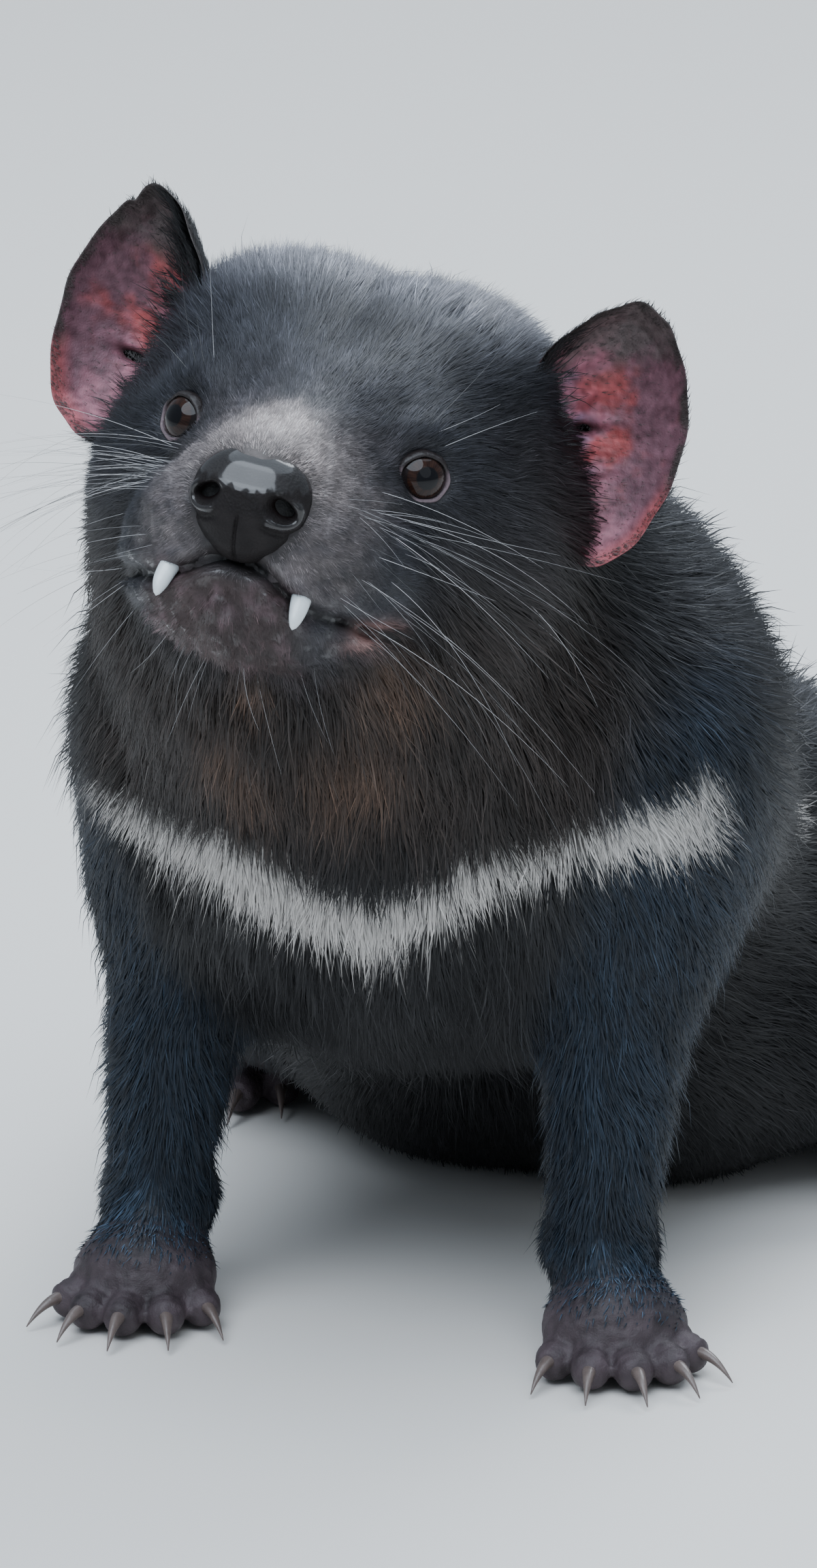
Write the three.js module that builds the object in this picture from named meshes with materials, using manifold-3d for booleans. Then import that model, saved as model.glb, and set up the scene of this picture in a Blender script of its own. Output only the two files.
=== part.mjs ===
// A Tasmanian devil at life size, sitting with its forelegs straight and its head raised.
// Millimetres, +Z up. The animal faces -Y and its left side is +X. It sits on a level floor.
// The body is modelled whole, as rounded forms that flow into one another, and is parted by thin
// cuts into the parts a person would name. The surface is the outside of the lying coat.

import * as THREE from "three";
import { mergeVertices } from "three/addons/utils/BufferGeometryUtils.js";
import Module from "manifold-3d";

const wasm = await Module();
wasm.setup();

// Driving sizes

const GAP = 0.3;
const SHORTEST_EDGE = 0.002;
const SIDES = { left: 1, right: -1 };

// The head has its own frame: x to the animal's left, y to the back of the head, z to the crown,
// with its origin midway between the eyes.
const HEAD = {
  at: [-4, -175, 268],
  turn: 7.7,
  lift: 18.6,
  tilt: 10.7,
};
const SKULL = {
  cranium: { at: [0, 44, 6], size: [56, 50, 44] },
  crown: { at: [22, 46, 24], size: [35, 40, 31] },
  cheek: { at: [31, 32, -16], size: [37, 42, 34] },
  forehead: { at: [0, 8, 8], size: [42, 32, 26] },
  orbit: { at: [24, 6, -8], size: [24, 24, 24] },
  muzzle: { at: [0, -18, -22], size: [34, 44, 26] },
  bridge: { from: [0, 4, 4], to: [0, -50, -11], radii: [20, 13] },
  lip: { at: [15, -40, -26], size: [17, 19, 13] },
  flew: { at: [24, -14, -31], size: [18, 30, 17] },
  jaw: { at: [0, -4, -42], size: [38, 46, 22] },
  chin: { at: [0, -32, -46], size: [28, 25, 17] },
};
const MOUTH = {
  middle: -35.5,
  drop: 9.5,
  halfWidth: 24,
  corner: -14,
  jawBack: -6,
  lineHeight: 1.6,
  lineDepth: 3,
  front: -110,
  underJaw: -120,
  blockWidth: 70,
};
const EYE = {
  side: 37,
  height: -0.5,
  radius: 8.5,
  proud: 0.4,
  outward: 34,
  opening: [6.4, 5.4, 5],
  lidRadius: 6.6,
  lidThickness: 1.7,
};
const NOSE = {
  at: [0, -56, -21],
  size: [19.5, 13.5, 17],
  taper: 0.14,
  nostril: { side: 11.5, at: [-11, -3], size: [4.2, 5.5, 3.6] },
  groove: { at: [-13, -10], size: [1, 5, 10] },
};
const CANINE = { root: [17.5, -45, -36], tip: [19.5, -56, -52], bow: [1.5, -5, 1], radius: 2.9 };
const EAR = {
  at: [68, 38, 25],
  halfHeight: 37.5,
  halfWidth: 25,
  tipTaper: 0.15,
  tipOut: 6,
  cupDepth: 17,
  thickness: 2.6,
  lean: -5,
  outward: 16,
  rimRoll: 3,
};

const CHEST = { at: [-4, -88, 160], size: [94, 62, 80] };
const SHOULDERS = { at: [-1, -38, 142], size: [89, 74, 76] };
const BELLY = { at: [0, 36, 79], size: [88, 88, 85] };
const RUMP = { at: [0, 106, 67], size: [88, 78, 71] };
const LAP = { at: [36, 30, 36], size: [52, 54, 40] };
const NECK = { from: [-13, -116, 224], to: [-4, -74, 170], radii: [73, 83] };
const THROAT = { from: [-6, -155, 217], to: [-2, -112, 155], radii: [54, 65] };

const FORELEG = {
  shoulder: { at: [62, -100, 148], size: [36, 46, 60] },
  lower: { from: [66, -114, 112], to: [68, -136, 34], radii: [25, 16] },
};
const FOREFOOT = {
  ankle: [68, -134, 0],
  turnedOut: { left: 32, right: -6 },
  hand: { from: [0, 4, 28], to: [0, -14, 16], radii: [15.5, 14] },
  palm: { at: [0, -16, 12], size: [21, 18, 13] },
  toeAngles: [-37, -18, 0, 17, 34],
  toeLengths: [33, 38, 40, 38.5, 34],
  toeRadius: 5.8,
};
const HINDLEG = {
  thigh: { at: [76, 82, 62], size: [38, 62, 54] },
  shank: { from: [95, 34, 40], to: [110, 126, 20], radii: [27, 17] },
};
const HINDFOOT = {
  ankle: [113, 84, 0],
  length: 50,
  sole: { from: [-2, 50, 14.5], to: [0, -12.5, 11.6], radii: [14.5, 13] },
  toeAngles: [-21, -7, 7, 21],
  toeLengths: [44, 52, 52, 46],
  toeRadius: 6,
};

// Toes: where each leaves the foot, as shares of its length and radius, and its height
const TOE = { rootOut: 0.5, rootForward: 0.45, rootHeight: 1.6, height: 1.1, rootSwell: 0.5 };
const CLAW = { length: 13, radius: 2.9, rise: 4, tipHeight: 1.6, rootHeight: 1.2, sunk: 0.6 };
const TAIL = {
  line: [[0, 158, 40], [2, 196, 31], [0, 250, 25], [-10, 305, 20], [-26, 358, 14], [-42, 402, 8]],
  radii: [42, 33, 27, 22, 16, 9],
};

// How far neighbouring forms flow into one another
const FLOW = { head: 16, face: 14, lips: 8, trunk: 45, neck: 40, leg: 22, toe: 3.5, tail: 28 };

// Grid steps: the face, feet and paws need finer facets than the trunk
const STEP = { head: 8, trunk: 18, forearm: 12, forefoot: 6.8, hindfoot: 8, tail: 11 };

// Cuts between the named parts, as a point and the direction in which the first part lies
const HEAD_CUT = { at: [-15, -133, 240], towards: [-0.03, -0.667, 0.745] };
const NECK_CUT = { at: [0, -95, 210], towards: [0, -0.535, 0.845] };
const TAIL_CUT = { at: [0, 176, 40], towards: [0, 0.98, -0.18] };
const TAIL_TIP_CUT = { at: [-6, 285, 20], towards: [-0.2, 0.97, -0.09] };
const WRIST_CUT = 37;
const ELBOW_CUT = 104;
const SHOULDER_PART = { at: [150, -102, 150], size: [120, 54, 68] };
const FORELEG_PART_RADIUS = 35;
const THIGH_PART = { at: [160, 76, 57], size: [122, 73, 76] };
const HIND_PART_RADIUS = 34;
const KNEE_CUT = { at: [93, 54, 45], towards: [0, -0.42, -0.91] };
const HEEL_CUT = { at: [111, 102, 25], towards: [0, 0.12, -0.99] };

// Boxes that hold the nets of the surface, as low and high corners
const BELOW_FLOOR = -24;
const TRUNK_BOX = [[-150, -230, -34], [150, 240, 330]];
const HEAD_BOX = [[-95, -265, 160], [85, -60, 345]];
const TAIL_BOX = [[-90, 110, BELOW_FLOOR], [90, 440, 120]];
const LIMB_BOX = {
  fore: { across: 66, along: 106, top: 150 },
  hind: { across: 74, along: 118, top: 90 },
  footTop: 60,
};

const COLOURS = {
  fur: [0x1d1b1c, 0.8],
  leg: [0x17191d, 0.75],
  throat: [0x2b2320, 0.8],
  face: [0x2c2a2b, 0.8],
  muzzle: [0x4a4142, 0.7],
  nose: [0x121214, 0.25],
  eye: [0x1a1210, 0.08],
  ear: [0x9c5560, 0.6],
  foot: [0x4b3f44, 0.65],
};

// Rounded forms: each gives the distance from a point to its surface, below zero inside

const radians = THREE.MathUtils.degToRad;

function egg([x, y, z], { at: [cx, cy, cz], size: [rx, ry, rz] }) {
  const u = [(x - cx) / rx, (y - cy) / ry, (z - cz) / rz];
  const v = [u[0] / rx, u[1] / ry, u[2] / rz];
  const level = Math.hypot(...u) + 1e-9;
  return level * (level - 1) / (Math.hypot(...v) + 1e-9);
}

function bar([x, y, z], { from: [ax, ay, az], to: [bx, by, bz], radii: [ra, rb] }) {
  const [dx, dy, dz] = [bx - ax, by - ay, bz - az];
  const along = ((x - ax) * dx + (y - ay) * dy + (z - az) * dz) / (dx * dx + dy * dy + dz * dz);
  const t = THREE.MathUtils.clamp(along, 0, 1);
  return Math.hypot(x - ax - t * dx, y - ay - t * dy, z - az - t * dz) - ra - t * (rb - ra);
}

// The smooth union of two forms, rounded over the width flow
function join(a, b, flow) {
  const h = Math.max(flow - Math.abs(a - b), 0) / flow;
  return Math.min(a, b) - h * h * flow / 4;
}

const headFrame = new THREE.Matrix4().makeRotationFromEuler(
  new THREE.Euler(radians(-HEAD.lift), radians(HEAD.tilt), radians(HEAD.turn), "ZXY"),
).setPosition(...HEAD.at);
const headFrameInverse = headFrame.clone().invert();

function inHeadFrame([x, y, z]) {
  return new THREE.Vector3(x, y, z).applyMatrix4(headFrameInverse).toArray();
}

function headForm([x, y, z]) {
  const middle = [x, y, z];
  const paired = [Math.abs(x), y, z];
  let form = egg(middle, SKULL.cranium);
  form = join(form, egg(paired, SKULL.crown), FLOW.face);
  form = join(form, egg(paired, SKULL.cheek), FLOW.head);
  form = join(form, egg(middle, SKULL.forehead), FLOW.head);
  form = join(form, egg(paired, SKULL.orbit), FLOW.face);
  form = join(form, egg(middle, SKULL.muzzle), FLOW.head);
  form = join(form, bar(middle, SKULL.bridge), FLOW.face);
  form = join(form, egg(paired, SKULL.lip), FLOW.lips);
  form = join(form, egg(paired, SKULL.flew), FLOW.lips);
  form = join(form, egg(middle, SKULL.jaw), FLOW.face);
  return join(form, egg(middle, SKULL.chin), FLOW.lips);
}

function trunkForm(point) {
  const [x, y, z] = point;
  let form = egg(point, CHEST);
  form = join(form, egg(point, SHOULDERS), FLOW.trunk);
  form = join(form, egg(point, BELLY), FLOW.trunk);
  form = join(form, egg(point, RUMP), FLOW.trunk);
  form = join(form, egg([Math.abs(x), y, z], LAP), FLOW.leg);
  const neck = join(bar(point, NECK), bar(point, THROAT), FLOW.neck);
  return join(form, neck, FLOW.neck);
}

function tailForm(point) {
  let form = Infinity;
  for (let i = 1; i < TAIL.line.length; i += 1) {
    const length = { from: TAIL.line[i - 1], to: TAIL.line[i], radii: [TAIL.radii[i - 1], TAIL.radii[i]] };
    form = form === Infinity ? bar(point, length) : join(form, bar(point, length), FLOW.lips);
  }
  return form;
}

// Limbs are given for the left side, and the right side is their mirror image
const mirrored = ([x, y, z], side) => [x * SIDES[side], y, z];

function forelegForm(point, side) {
  const p = mirrored(point, side);
  return join(egg(p, FORELEG.shoulder), bar(p, FORELEG.lower), FLOW.leg);
}

// A point in the frame of a forefoot: x to its outer side, y back from the toes
function inForefoot(point, side) {
  const [x, y, z] = mirrored(point, side);
  const out = radians(FOREFOOT.turnedOut[side]);
  const [dx, dy] = [x - FOREFOOT.ankle[0], y - FOREFOOT.ankle[1]];
  return [dx * Math.cos(out) + dy * Math.sin(out), dy * Math.cos(out) - dx * Math.sin(out), z];
}

function toeEnd(angle, length) {
  return [Math.sin(radians(angle)) * length, -Math.cos(radians(angle)) * length];
}

function toes(point, { toeAngles, toeLengths, toeRadius }, start) {
  let form = start;
  toeAngles.forEach((angle, i) => {
    const [x, y] = toeEnd(angle, toeLengths[i]);
    const root = [x * TOE.rootOut, y * TOE.rootForward, toeRadius * TOE.rootHeight];
    const tip = [x, y, toeRadius * TOE.height];
    const toe = { from: root, to: tip, radii: [toeRadius + TOE.rootSwell, toeRadius] };
    form = join(form, bar(point, toe), FLOW.toe);
  });
  return form;
}

function forefootForm(point, side) {
  const p = inForefoot(point, side);
  return toes(p, FOREFOOT, join(bar(p, FOREFOOT.hand), egg(p, FOREFOOT.palm), FLOW.lips));
}

function thighForm(point, side) {
  const p = mirrored(point, side);
  return join(egg(p, HINDLEG.thigh), bar(p, HINDLEG.shank), FLOW.leg);
}

function hindfootForm(point, side) {
  const [x, y, z] = mirrored(point, side);
  const p = [x - HINDFOOT.ankle[0], y - HINDFOOT.ankle[1], z];
  return toes(p, HINDFOOT, bar(p, HINDFOOT.sole));
}

// The whole animal without its feet and ears
function bodyForm(point) {
  let form = join(trunkForm(point), tailForm(point), FLOW.tail);
  for (const side of Object.keys(SIDES)) {
    form = join(form, forelegForm(point, side), FLOW.leg);
    form = join(form, thighForm(point, side), FLOW.leg);
  }
  return join(form, headForm(inHeadFrame(point)), FLOW.head);
}

const foreLimbForm = (side) => (p) => join(forelegForm(p, side), forefootForm(p, side), FLOW.lips);
const hindLimbForm = (side) => (p) => join(thighForm(p, side), hindfootForm(p, side), FLOW.lips);

// A point near a form's surface, moved straight on to it
function settled(form, point, reach) {
  const away = form(point);
  const slope = point.map((v, n) => form(point.map((w, m) => (m === n ? w + 0.5 : w))) - away);
  const steep = slope.reduce((sum, g) => sum + g * g, 0);
  const move = THREE.MathUtils.clamp(0.5 * away / steep, -0.3 * reach, 0.3 * reach);
  return point.map((v, n) => v - slope[n] * move);
}

// The surface of a form inside a box, as a closed net: one vertex in each grid cell that the
// surface crosses, at the mean of the crossings on its edges, and one quad across each crossed edge
function surface(form, low, high, step) {
  const count = low.map((v, i) => Math.ceil((high[i] - v) / step) + 1);
  const index = (i, j, k) => (i * count[1] + j) * count[2] + k;
  const value = new Float64Array(count[0] * count[1] * count[2]).fill(step);
  for (let i = 1; i < count[0] - 1; i += 1) {
    for (let j = 1; j < count[1] - 1; j += 1) {
      for (let k = 1; k < count[2] - 1; k += 1) {
        value[index(i, j, k)] = form([low[0] + i * step, low[1] + j * step, low[2] + k * step]);
      }
    }
  }
  const corners = [];
  for (let c = 0; c < 8; c += 1) {
    corners.push([c >> 2, (c >> 1) & 1, c & 1]);
  }
  const edges = [];
  corners.forEach((a, i) => corners.forEach((b, j) => {
    if (j > i && Math.abs(a[0] - b[0]) + Math.abs(a[1] - b[1]) + Math.abs(a[2] - b[2]) === 1) {
      edges.push([a, b]);
    }
  }));
  const vertexOf = new Map();
  const positions = [];
  for (let i = 0; i < count[0] - 1; i += 1) {
    for (let j = 0; j < count[1] - 1; j += 1) {
      for (let k = 0; k < count[2] - 1; k += 1) {
        const sum = [0, 0, 0];
        let crossings = 0;
        for (const [a, b] of edges) {
          const va = value[index(i + a[0], j + a[1], k + a[2])];
          const vb = value[index(i + b[0], j + b[1], k + b[2])];
          if ((va < 0) !== (vb < 0)) {
            const t = va / (va - vb);
            sum.forEach((s, n) => { sum[n] = s + a[n] + t * (b[n] - a[n]); });
            crossings += 1;
          }
        }
        if (crossings > 0) {
          vertexOf.set(index(i, j, k), positions.length / 3);
          const cell = [i, j, k];
          const vertex = sum.map((s, n) => low[n] + step * (cell[n] + s / crossings));
          const inner = cell.every((c, n) => c > 0 && c < count[n] - 2);
          positions.push(...(inner ? settled(form, vertex, step) : vertex));
        }
      }
    }
  }
  const triangles = [];
  for (let i = 0; i < count[0] - 1; i += 1) {
    for (let j = 0; j < count[1] - 1; j += 1) {
      for (let k = 0; k < count[2] - 1; k += 1) {
        const here = value[index(i, j, k)] < 0;
        for (let axis = 0; axis < 3; axis += 1) {
          const d = [0, 1, 2].map((n) => (n === axis ? 1 : 0));
          const next = value[index(i + d[0], j + d[1], k + d[2])] < 0;
          if (here === next) {
            continue;
          }
          const u = [0, 1, 2].map((n) => (n === (axis + 1) % 3 ? 1 : 0));
          const w = [0, 1, 2].map((n) => (n === (axis + 2) % 3 ? 1 : 0));
          const cell = (a, b) => vertexOf.get(
            index(i - a * u[0] - b * w[0], j - a * u[1] - b * w[1], k - a * u[2] - b * w[2]),
          );
          const ring = [cell(1, 1), cell(0, 1), cell(0, 0), cell(1, 0)];
          if (!here) {
            ring.reverse();
          }
          triangles.push(ring[0], ring[1], ring[2], ring[0], ring[2], ring[3]);
        }
      }
    }
  }
  const net = new THREE.BufferGeometry();
  net.setAttribute("position", new THREE.Float32BufferAttribute(positions, 3));
  net.setIndex(triangles);
  return net;
}

// Closed solids

// Vertices closer together than the tolerance become one, and flat triangles are left out
function welded(geometry, tolerance) {
  const bare = geometry.clone();
  bare.deleteAttribute("normal");
  bare.deleteAttribute("uv");
  const merged = mergeVertices(bare, tolerance);
  const all = merged.index.array;
  const kept = [];
  for (let i = 0; i < all.length; i += 3) {
    const [a, b, c] = [all[i], all[i + 1], all[i + 2]];
    if (a !== b && b !== c && c !== a) {
      kept.push(a, b, c);
    }
  }
  return merged.setIndex(kept);
}

function solid(geometry) {
  const closed = welded(geometry, 1e-4);
  return new wasm.Manifold(new wasm.Mesh({
    numProp: 3,
    vertProperties: new Float32Array(closed.attributes.position.array),
    triVerts: new Uint32Array(closed.index.array),
  }));
}

function largest(piece) {
  return piece.decompose().reduce((a, b) => (b.volume() > a.volume() ? b : a));
}

function geometryOf(piece) {
  const mesh = piece.getMesh();
  const geometry = new THREE.BufferGeometry();
  geometry.setAttribute("position", new THREE.BufferAttribute(mesh.vertProperties, 3));
  geometry.setIndex(new THREE.BufferAttribute(mesh.triVerts, 1));
  const closed = welded(geometry, SHORTEST_EDGE);
  closed.computeVertexNormals();
  return closed;
}

// The half space on the side of the cut that it points to, as one large block
const FAR = 700;
function beyond({ at, towards }, shift) {
  const direction = new THREE.Vector3(...towards).normalize();
  const block = new THREE.BoxGeometry(2 * FAR, 2 * FAR, FAR);
  block.applyQuaternion(new THREE.Quaternion().setFromUnitVectors(new THREE.Vector3(0, 0, 1), direction));
  block.translate(...direction.multiplyScalar(FAR / 2 + shift).toArray());
  return solid(block.translate(...at));
}

function eggSolid({ at, size }, grown = 0, fineness = 7) {
  const ball = new THREE.SphereGeometry(1, 2 * fineness, fineness);
  return solid(ball.scale(...size.map((r) => r + grown)).translate(...at));
}

// A round limb from one point to another, with round ends
function limbSolid(from, to, radius) {
  const [a, b] = [new THREE.Vector3(...from), new THREE.Vector3(...to)];
  const capsule = new THREE.CapsuleGeometry(radius, a.distanceTo(b), 3, 12);
  const direction = b.clone().sub(a).normalize();
  capsule.applyQuaternion(new THREE.Quaternion().setFromUnitVectors(new THREE.Vector3(0, 1, 0), direction));
  return solid(capsule.translate(...a.add(b).divideScalar(2).toArray()));
}

// A curved taper from a round root to a point, for claws and canines
function horn(root, tip, bow, radius, sides = 6, rings = 3) {
  const [a, b] = [new THREE.Vector3(...root), new THREE.Vector3(...tip)];
  const middle = a.clone().add(b).divideScalar(2).add(new THREE.Vector3(...bow));
  const line = new THREE.QuadraticBezierCurve3(a, middle, b);
  const across = new THREE.Vector3().crossVectors(b.clone().sub(a), new THREE.Vector3(0, 0, 1));
  if (across.length() < 1e-3) {
    across.set(1, 0, 0);
  }
  across.normalize();
  const positions = [a.toArray()];
  for (let ring = 0; ring < rings; ring += 1) {
    const t = ring / rings;
    const centre = line.getPoint(t);
    const up = new THREE.Vector3().crossVectors(across, line.getTangent(t)).normalize();
    for (let i = 0; i < sides; i += 1) {
      const turn = i / sides * 2 * Math.PI;
      const reach = radius * Math.sqrt(1 - t);
      const spoke = across.clone().multiplyScalar(Math.cos(turn) * reach);
      spoke.addScaledVector(up, Math.sin(turn) * reach);
      positions.push(centre.clone().add(spoke).toArray());
    }
  }
  positions.push(b.toArray());
  const triangles = [];
  const last = positions.length - 1;
  for (let i = 0; i < sides; i += 1) {
    const next = (i + 1) % sides;
    triangles.push(0, 1 + next, 1 + i);
    for (let ring = 0; ring < rings - 1; ring += 1) {
      const [p, q] = [1 + ring * sides, 1 + (ring + 1) * sides];
      triangles.push(p + i, p + next, q + next, p + i, q + next, q + i);
    }
    const top = 1 + (rings - 1) * sides;
    triangles.push(top + i, top + next, last);
  }
  const geometry = new THREE.BufferGeometry();
  geometry.setAttribute("position", new THREE.Float32BufferAttribute(positions.flat(), 3));
  geometry.setIndex(triangles);
  const made = solid(geometry);
  return made.volume() > 0 ? made : solid(turnedOver(geometry));
}

function turnedOver(geometry) {
  const turned = geometry.clone();
  const order = turned.index.array;
  for (let i = 0; i < order.length; i += 3) {
    [order[i], order[i + 1]] = [order[i + 1], order[i]];
  }
  return turned;
}

const placed = (piece) => piece.transform(headFrame.elements);
const floorBelow = beyond({ at: [0, 0, 0], towards: [0, 0, -1] }, 0);

// Body surface nets

const bodySurface = ([low, high], step) => solid(surface(bodyForm, low, high, step)).subtract(floorBelow);
const trunkNet = bodySurface(TRUNK_BOX, STEP.trunk);

// Eyes, set where the head's surface is

function faceDepth(x, z) {
  let [near, far] = [-90, 20];
  for (let i = 0; i < 30; i += 1) {
    const middle = (near + far) / 2;
    if (headForm([x, middle, z]) > 0) {
      near = middle;
    } else {
      far = middle;
    }
  }
  return near;
}

const eyeSeat = new THREE.Vector3(EYE.side, faceDepth(EYE.side, EYE.height), EYE.height);
const gaze = new THREE.Vector3(Math.sin(radians(EYE.outward)), -Math.cos(radians(EYE.outward)), 0);
const eyeCentre = eyeSeat.clone().addScaledVector(gaze, EYE.proud - EYE.radius);

const mirrorX = (side) => new THREE.Matrix4().makeScale(SIDES[side], 1, 1);

function eyeBall(grown, side) {
  const ball = new THREE.SphereGeometry(EYE.radius + grown, 14, 9);
  const at = eyeCentre.clone().applyMatrix4(mirrorX(side));
  return placed(solid(ball.translate(...at.toArray())));
}

// The eye's opening in the coat and the ring of lids round it, turned to the gaze
function facingGaze(geometry, side) {
  const direction = gaze.clone().applyMatrix4(mirrorX(side));
  geometry.applyQuaternion(new THREE.Quaternion().setFromUnitVectors(new THREE.Vector3(0, 0, 1), direction));
  return geometry.translate(...eyeSeat.clone().applyMatrix4(mirrorX(side)).toArray());
}

function eyeOpening(side) {
  const ball = new THREE.SphereGeometry(1, 12, 8).scale(...EYE.opening);
  return placed(solid(facingGaze(ball, side)));
}

function eyelids(side) {
  const ring = new THREE.TorusGeometry(EYE.lidRadius, EYE.lidThickness, 5, 14);
  ring.scale(1, EYE.opening[1] / EYE.opening[0], 1).translate(0, 0, -EYE.lidThickness / 3);
  return placed(solid(facingGaze(ring, side)));
}

// The nose pad: a rounded wedge, broad above and narrow below, with nostrils and a middle groove

function nosePad(grown) {
  const pad = new THREE.SphereGeometry(1, 16, 9);
  const vertices = pad.attributes.position;
  for (let i = 0; i < vertices.count; i += 1) {
    const z = vertices.getZ(i);
    vertices.setX(i, vertices.getX(i) * (1 - NOSE.taper * (1 - z)));
  }
  return solid(pad.scale(...NOSE.size.map((r) => r + grown)).translate(...NOSE.at));
}

function noseCuts() {
  const { nostril, groove } = NOSE;
  const middle = eggSolid({
    at: [0, NOSE.at[1] + groove.at[0], NOSE.at[2] + groove.at[1]],
    size: groove.size,
  }, 0, 6);
  return Object.values(SIDES).reduce((cuts, way) => cuts.add(eggSolid({
    at: [way * nostril.side, NOSE.at[1] + nostril.at[0], NOSE.at[2] + nostril.at[1]],
    size: nostril.size,
  }, 0, 6)), middle);
}

// Mouth: the height of the line where the lips meet, and the blocks that part and mark it

function mouthHeight(x) {
  return MOUTH.middle - MOUTH.drop * THREE.MathUtils.smoothstep(Math.abs(x), 1, MOUTH.halfWidth);
}

function mouthBlock(back, above, underside) {
  const block = new THREE.BoxGeometry(2 * MOUTH.blockWidth, back - MOUTH.front, 1, 22, 1, 1);
  const vertices = block.attributes.position;
  for (let i = 0; i < vertices.count; i += 1) {
    const line = mouthHeight(vertices.getX(i));
    vertices.setZ(i, vertices.getZ(i) > 0 ? line + above : underside(line));
  }
  return placed(solid(block.translate(0, (MOUTH.front + back) / 2, 0)));
}

function canine(side, grown) {
  const way = SIDES[side];
  const flip = ([x, y, z]) => [way * x, y, z];
  return placed(horn(flip(CANINE.root), flip(CANINE.tip), flip(CANINE.bow), CANINE.radius + grown));
}

const headWhole = largest(bodySurface(HEAD_BOX, STEP.head).intersect(beyond(HEAD_CUT, GAP / 2)));

// The head's surface moved outwards by some amount
function headNet(outwards) {
  return solid(surface((p) => bodyForm(p) - outwards, ...HEAD_BOX, STEP.head));
}

function buildHead() {
  let head = headWhole;
  const lipInside = headNet(-MOUTH.lineDepth);
  const half = MOUTH.lineHeight / 2;
  const lipLine = mouthBlock(MOUTH.corner, half, (line) => line - half);
  for (const side of Object.keys(SIDES)) {
    head = head.subtract(eyeOpening(side)).add(eyelids(side)).subtract(eyeBall(GAP, side));
  }
  head = head.subtract(placed(nosePad(GAP)));
  const marked = head.subtract(lipLine.subtract(lipInside));
  const underJaw = () => MOUTH.underJaw;
  const jaw = largest(marked.intersect(mouthBlock(MOUTH.jawBack - GAP / 2, -GAP / 2, underJaw)));
  const upper = largest(marked.subtract(mouthBlock(MOUTH.jawBack + GAP / 2, GAP / 2, underJaw)));
  const teeth = canine("left", 0).add(canine("right", 0));
  const teethRoom = canine("left", GAP).add(canine("right", GAP));
  return { head: largest(upper.add(teeth)), jaw: largest(jaw.subtract(teethRoom)) };
}

// Ears: an upright oval dish, hollow to the front, with its rim rolled forward and its inner
// margin sunk in the side of the head

function earDish(side, grown = 0) {
  const [rings, spokes] = [5, 22];
  const positions = [];
  const point = (reach, turn, back) => {
    const taper = 1 - EAR.tipTaper * Math.max(0, Math.sin(turn)) * reach;
    const across = Math.cos(turn) * reach * taper * (EAR.halfWidth + grown)
      + EAR.tipOut * Math.max(0, Math.sin(turn)) * reach * reach;
    const up = Math.sin(turn) * reach * (EAR.halfHeight + grown);
    const cup = EAR.cupDepth * (1 - reach * reach);
    const roll = -EAR.rimRoll * Math.max(0, reach - 0.85) / 0.15;
    const wall = back * EAR.thickness * (1 - 0.55 * reach ** 4) + (2 * back - 1) * grown;
    const shape = new THREE.Vector3(across, cup + roll + wall, up);
    shape.applyAxisAngle(new THREE.Vector3(0, 1, 0), radians(EAR.lean));
    shape.applyAxisAngle(new THREE.Vector3(0, 0, 1), radians(EAR.outward));
    return shape.add(new THREE.Vector3(...EAR.at)).applyMatrix4(mirrorX(side)).toArray();
  };
  for (const back of [0, 1]) {
    positions.push(point(0, 0, back));
    for (let ring = 1; ring <= rings; ring += 1) {
      for (let i = 0; i < spokes; i += 1) {
        positions.push(point(ring / rings, i / spokes * 2 * Math.PI, back));
      }
    }
  }
  const half = 1 + rings * spokes;
  const triangles = [];
  const at = (face, ring, i) => face * half + 1 + (ring - 1) * spokes + (i % spokes);
  for (let i = 0; i < spokes; i += 1) {
    triangles.push(0, at(0, 1, i), at(0, 1, i + 1), half, at(1, 1, i + 1), at(1, 1, i));
    for (let ring = 1; ring < rings; ring += 1) {
      const front = [at(0, ring, i), at(0, ring + 1, i), at(0, ring + 1, i + 1), at(0, ring, i + 1)];
      const rear = [at(1, ring, i), at(1, ring, i + 1), at(1, ring + 1, i + 1), at(1, ring + 1, i)];
      for (const [a, b, c, d] of [front, rear]) {
        triangles.push(a, b, c, a, c, d);
      }
    }
    const rim = [at(0, rings, i), at(1, rings, i), at(1, rings, i + 1), at(0, rings, i + 1)];
    triangles.push(rim[0], rim[1], rim[2], rim[0], rim[2], rim[3]);
  }
  const geometry = new THREE.BufferGeometry();
  geometry.setAttribute("position", new THREE.Float32BufferAttribute(positions.flat(), 3));
  geometry.setIndex(triangles);
  const made = solid(geometry);
  return placed(made.volume() > 0 ? made : solid(turnedOver(geometry)));
}

const headClearance = headNet(2 * GAP);

function buildEar(side) {
  return largest(earDish(side).subtract(headClearance));
}

// Limbs

const mirroredCut = ({ at, towards }, side) => ({
  at: [at[0] * SIDES[side], at[1], at[2]],
  towards: [towards[0] * SIDES[side], towards[1], towards[2]],
});

function mirroredEgg({ at, size }, side, grown) {
  return eggSolid({ at: [at[0] * SIDES[side], at[1], at[2]], size }, grown);
}

function forelegPart(side, grown) {
  const flip = ([x, y, z]) => [x * SIDES[side], y, z];
  const [x, y] = FORELEG.lower.to;
  const forearm = limbSolid(flip(FORELEG.lower.from), flip([x, y, BELOW_FLOOR]), FORELEG_PART_RADIUS + grown);
  return forearm.add(mirroredEgg(SHOULDER_PART, side, grown));
}

function hindPart(side, grown) {
  const flip = ([x, y, z]) => [x * SIDES[side], y, z];
  const toe = [HINDFOOT.ankle[0], HINDFOOT.ankle[1] - HINDFOOT.length, 0];
  const heel = [HINDFOOT.ankle[0], HINDFOOT.ankle[1] + HINDFOOT.length, 0];
  const foot = limbSolid(flip(toe), flip(heel), HIND_PART_RADIUS + grown);
  return foot.add(mirroredEgg(THIGH_PART, side, grown));
}

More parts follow.
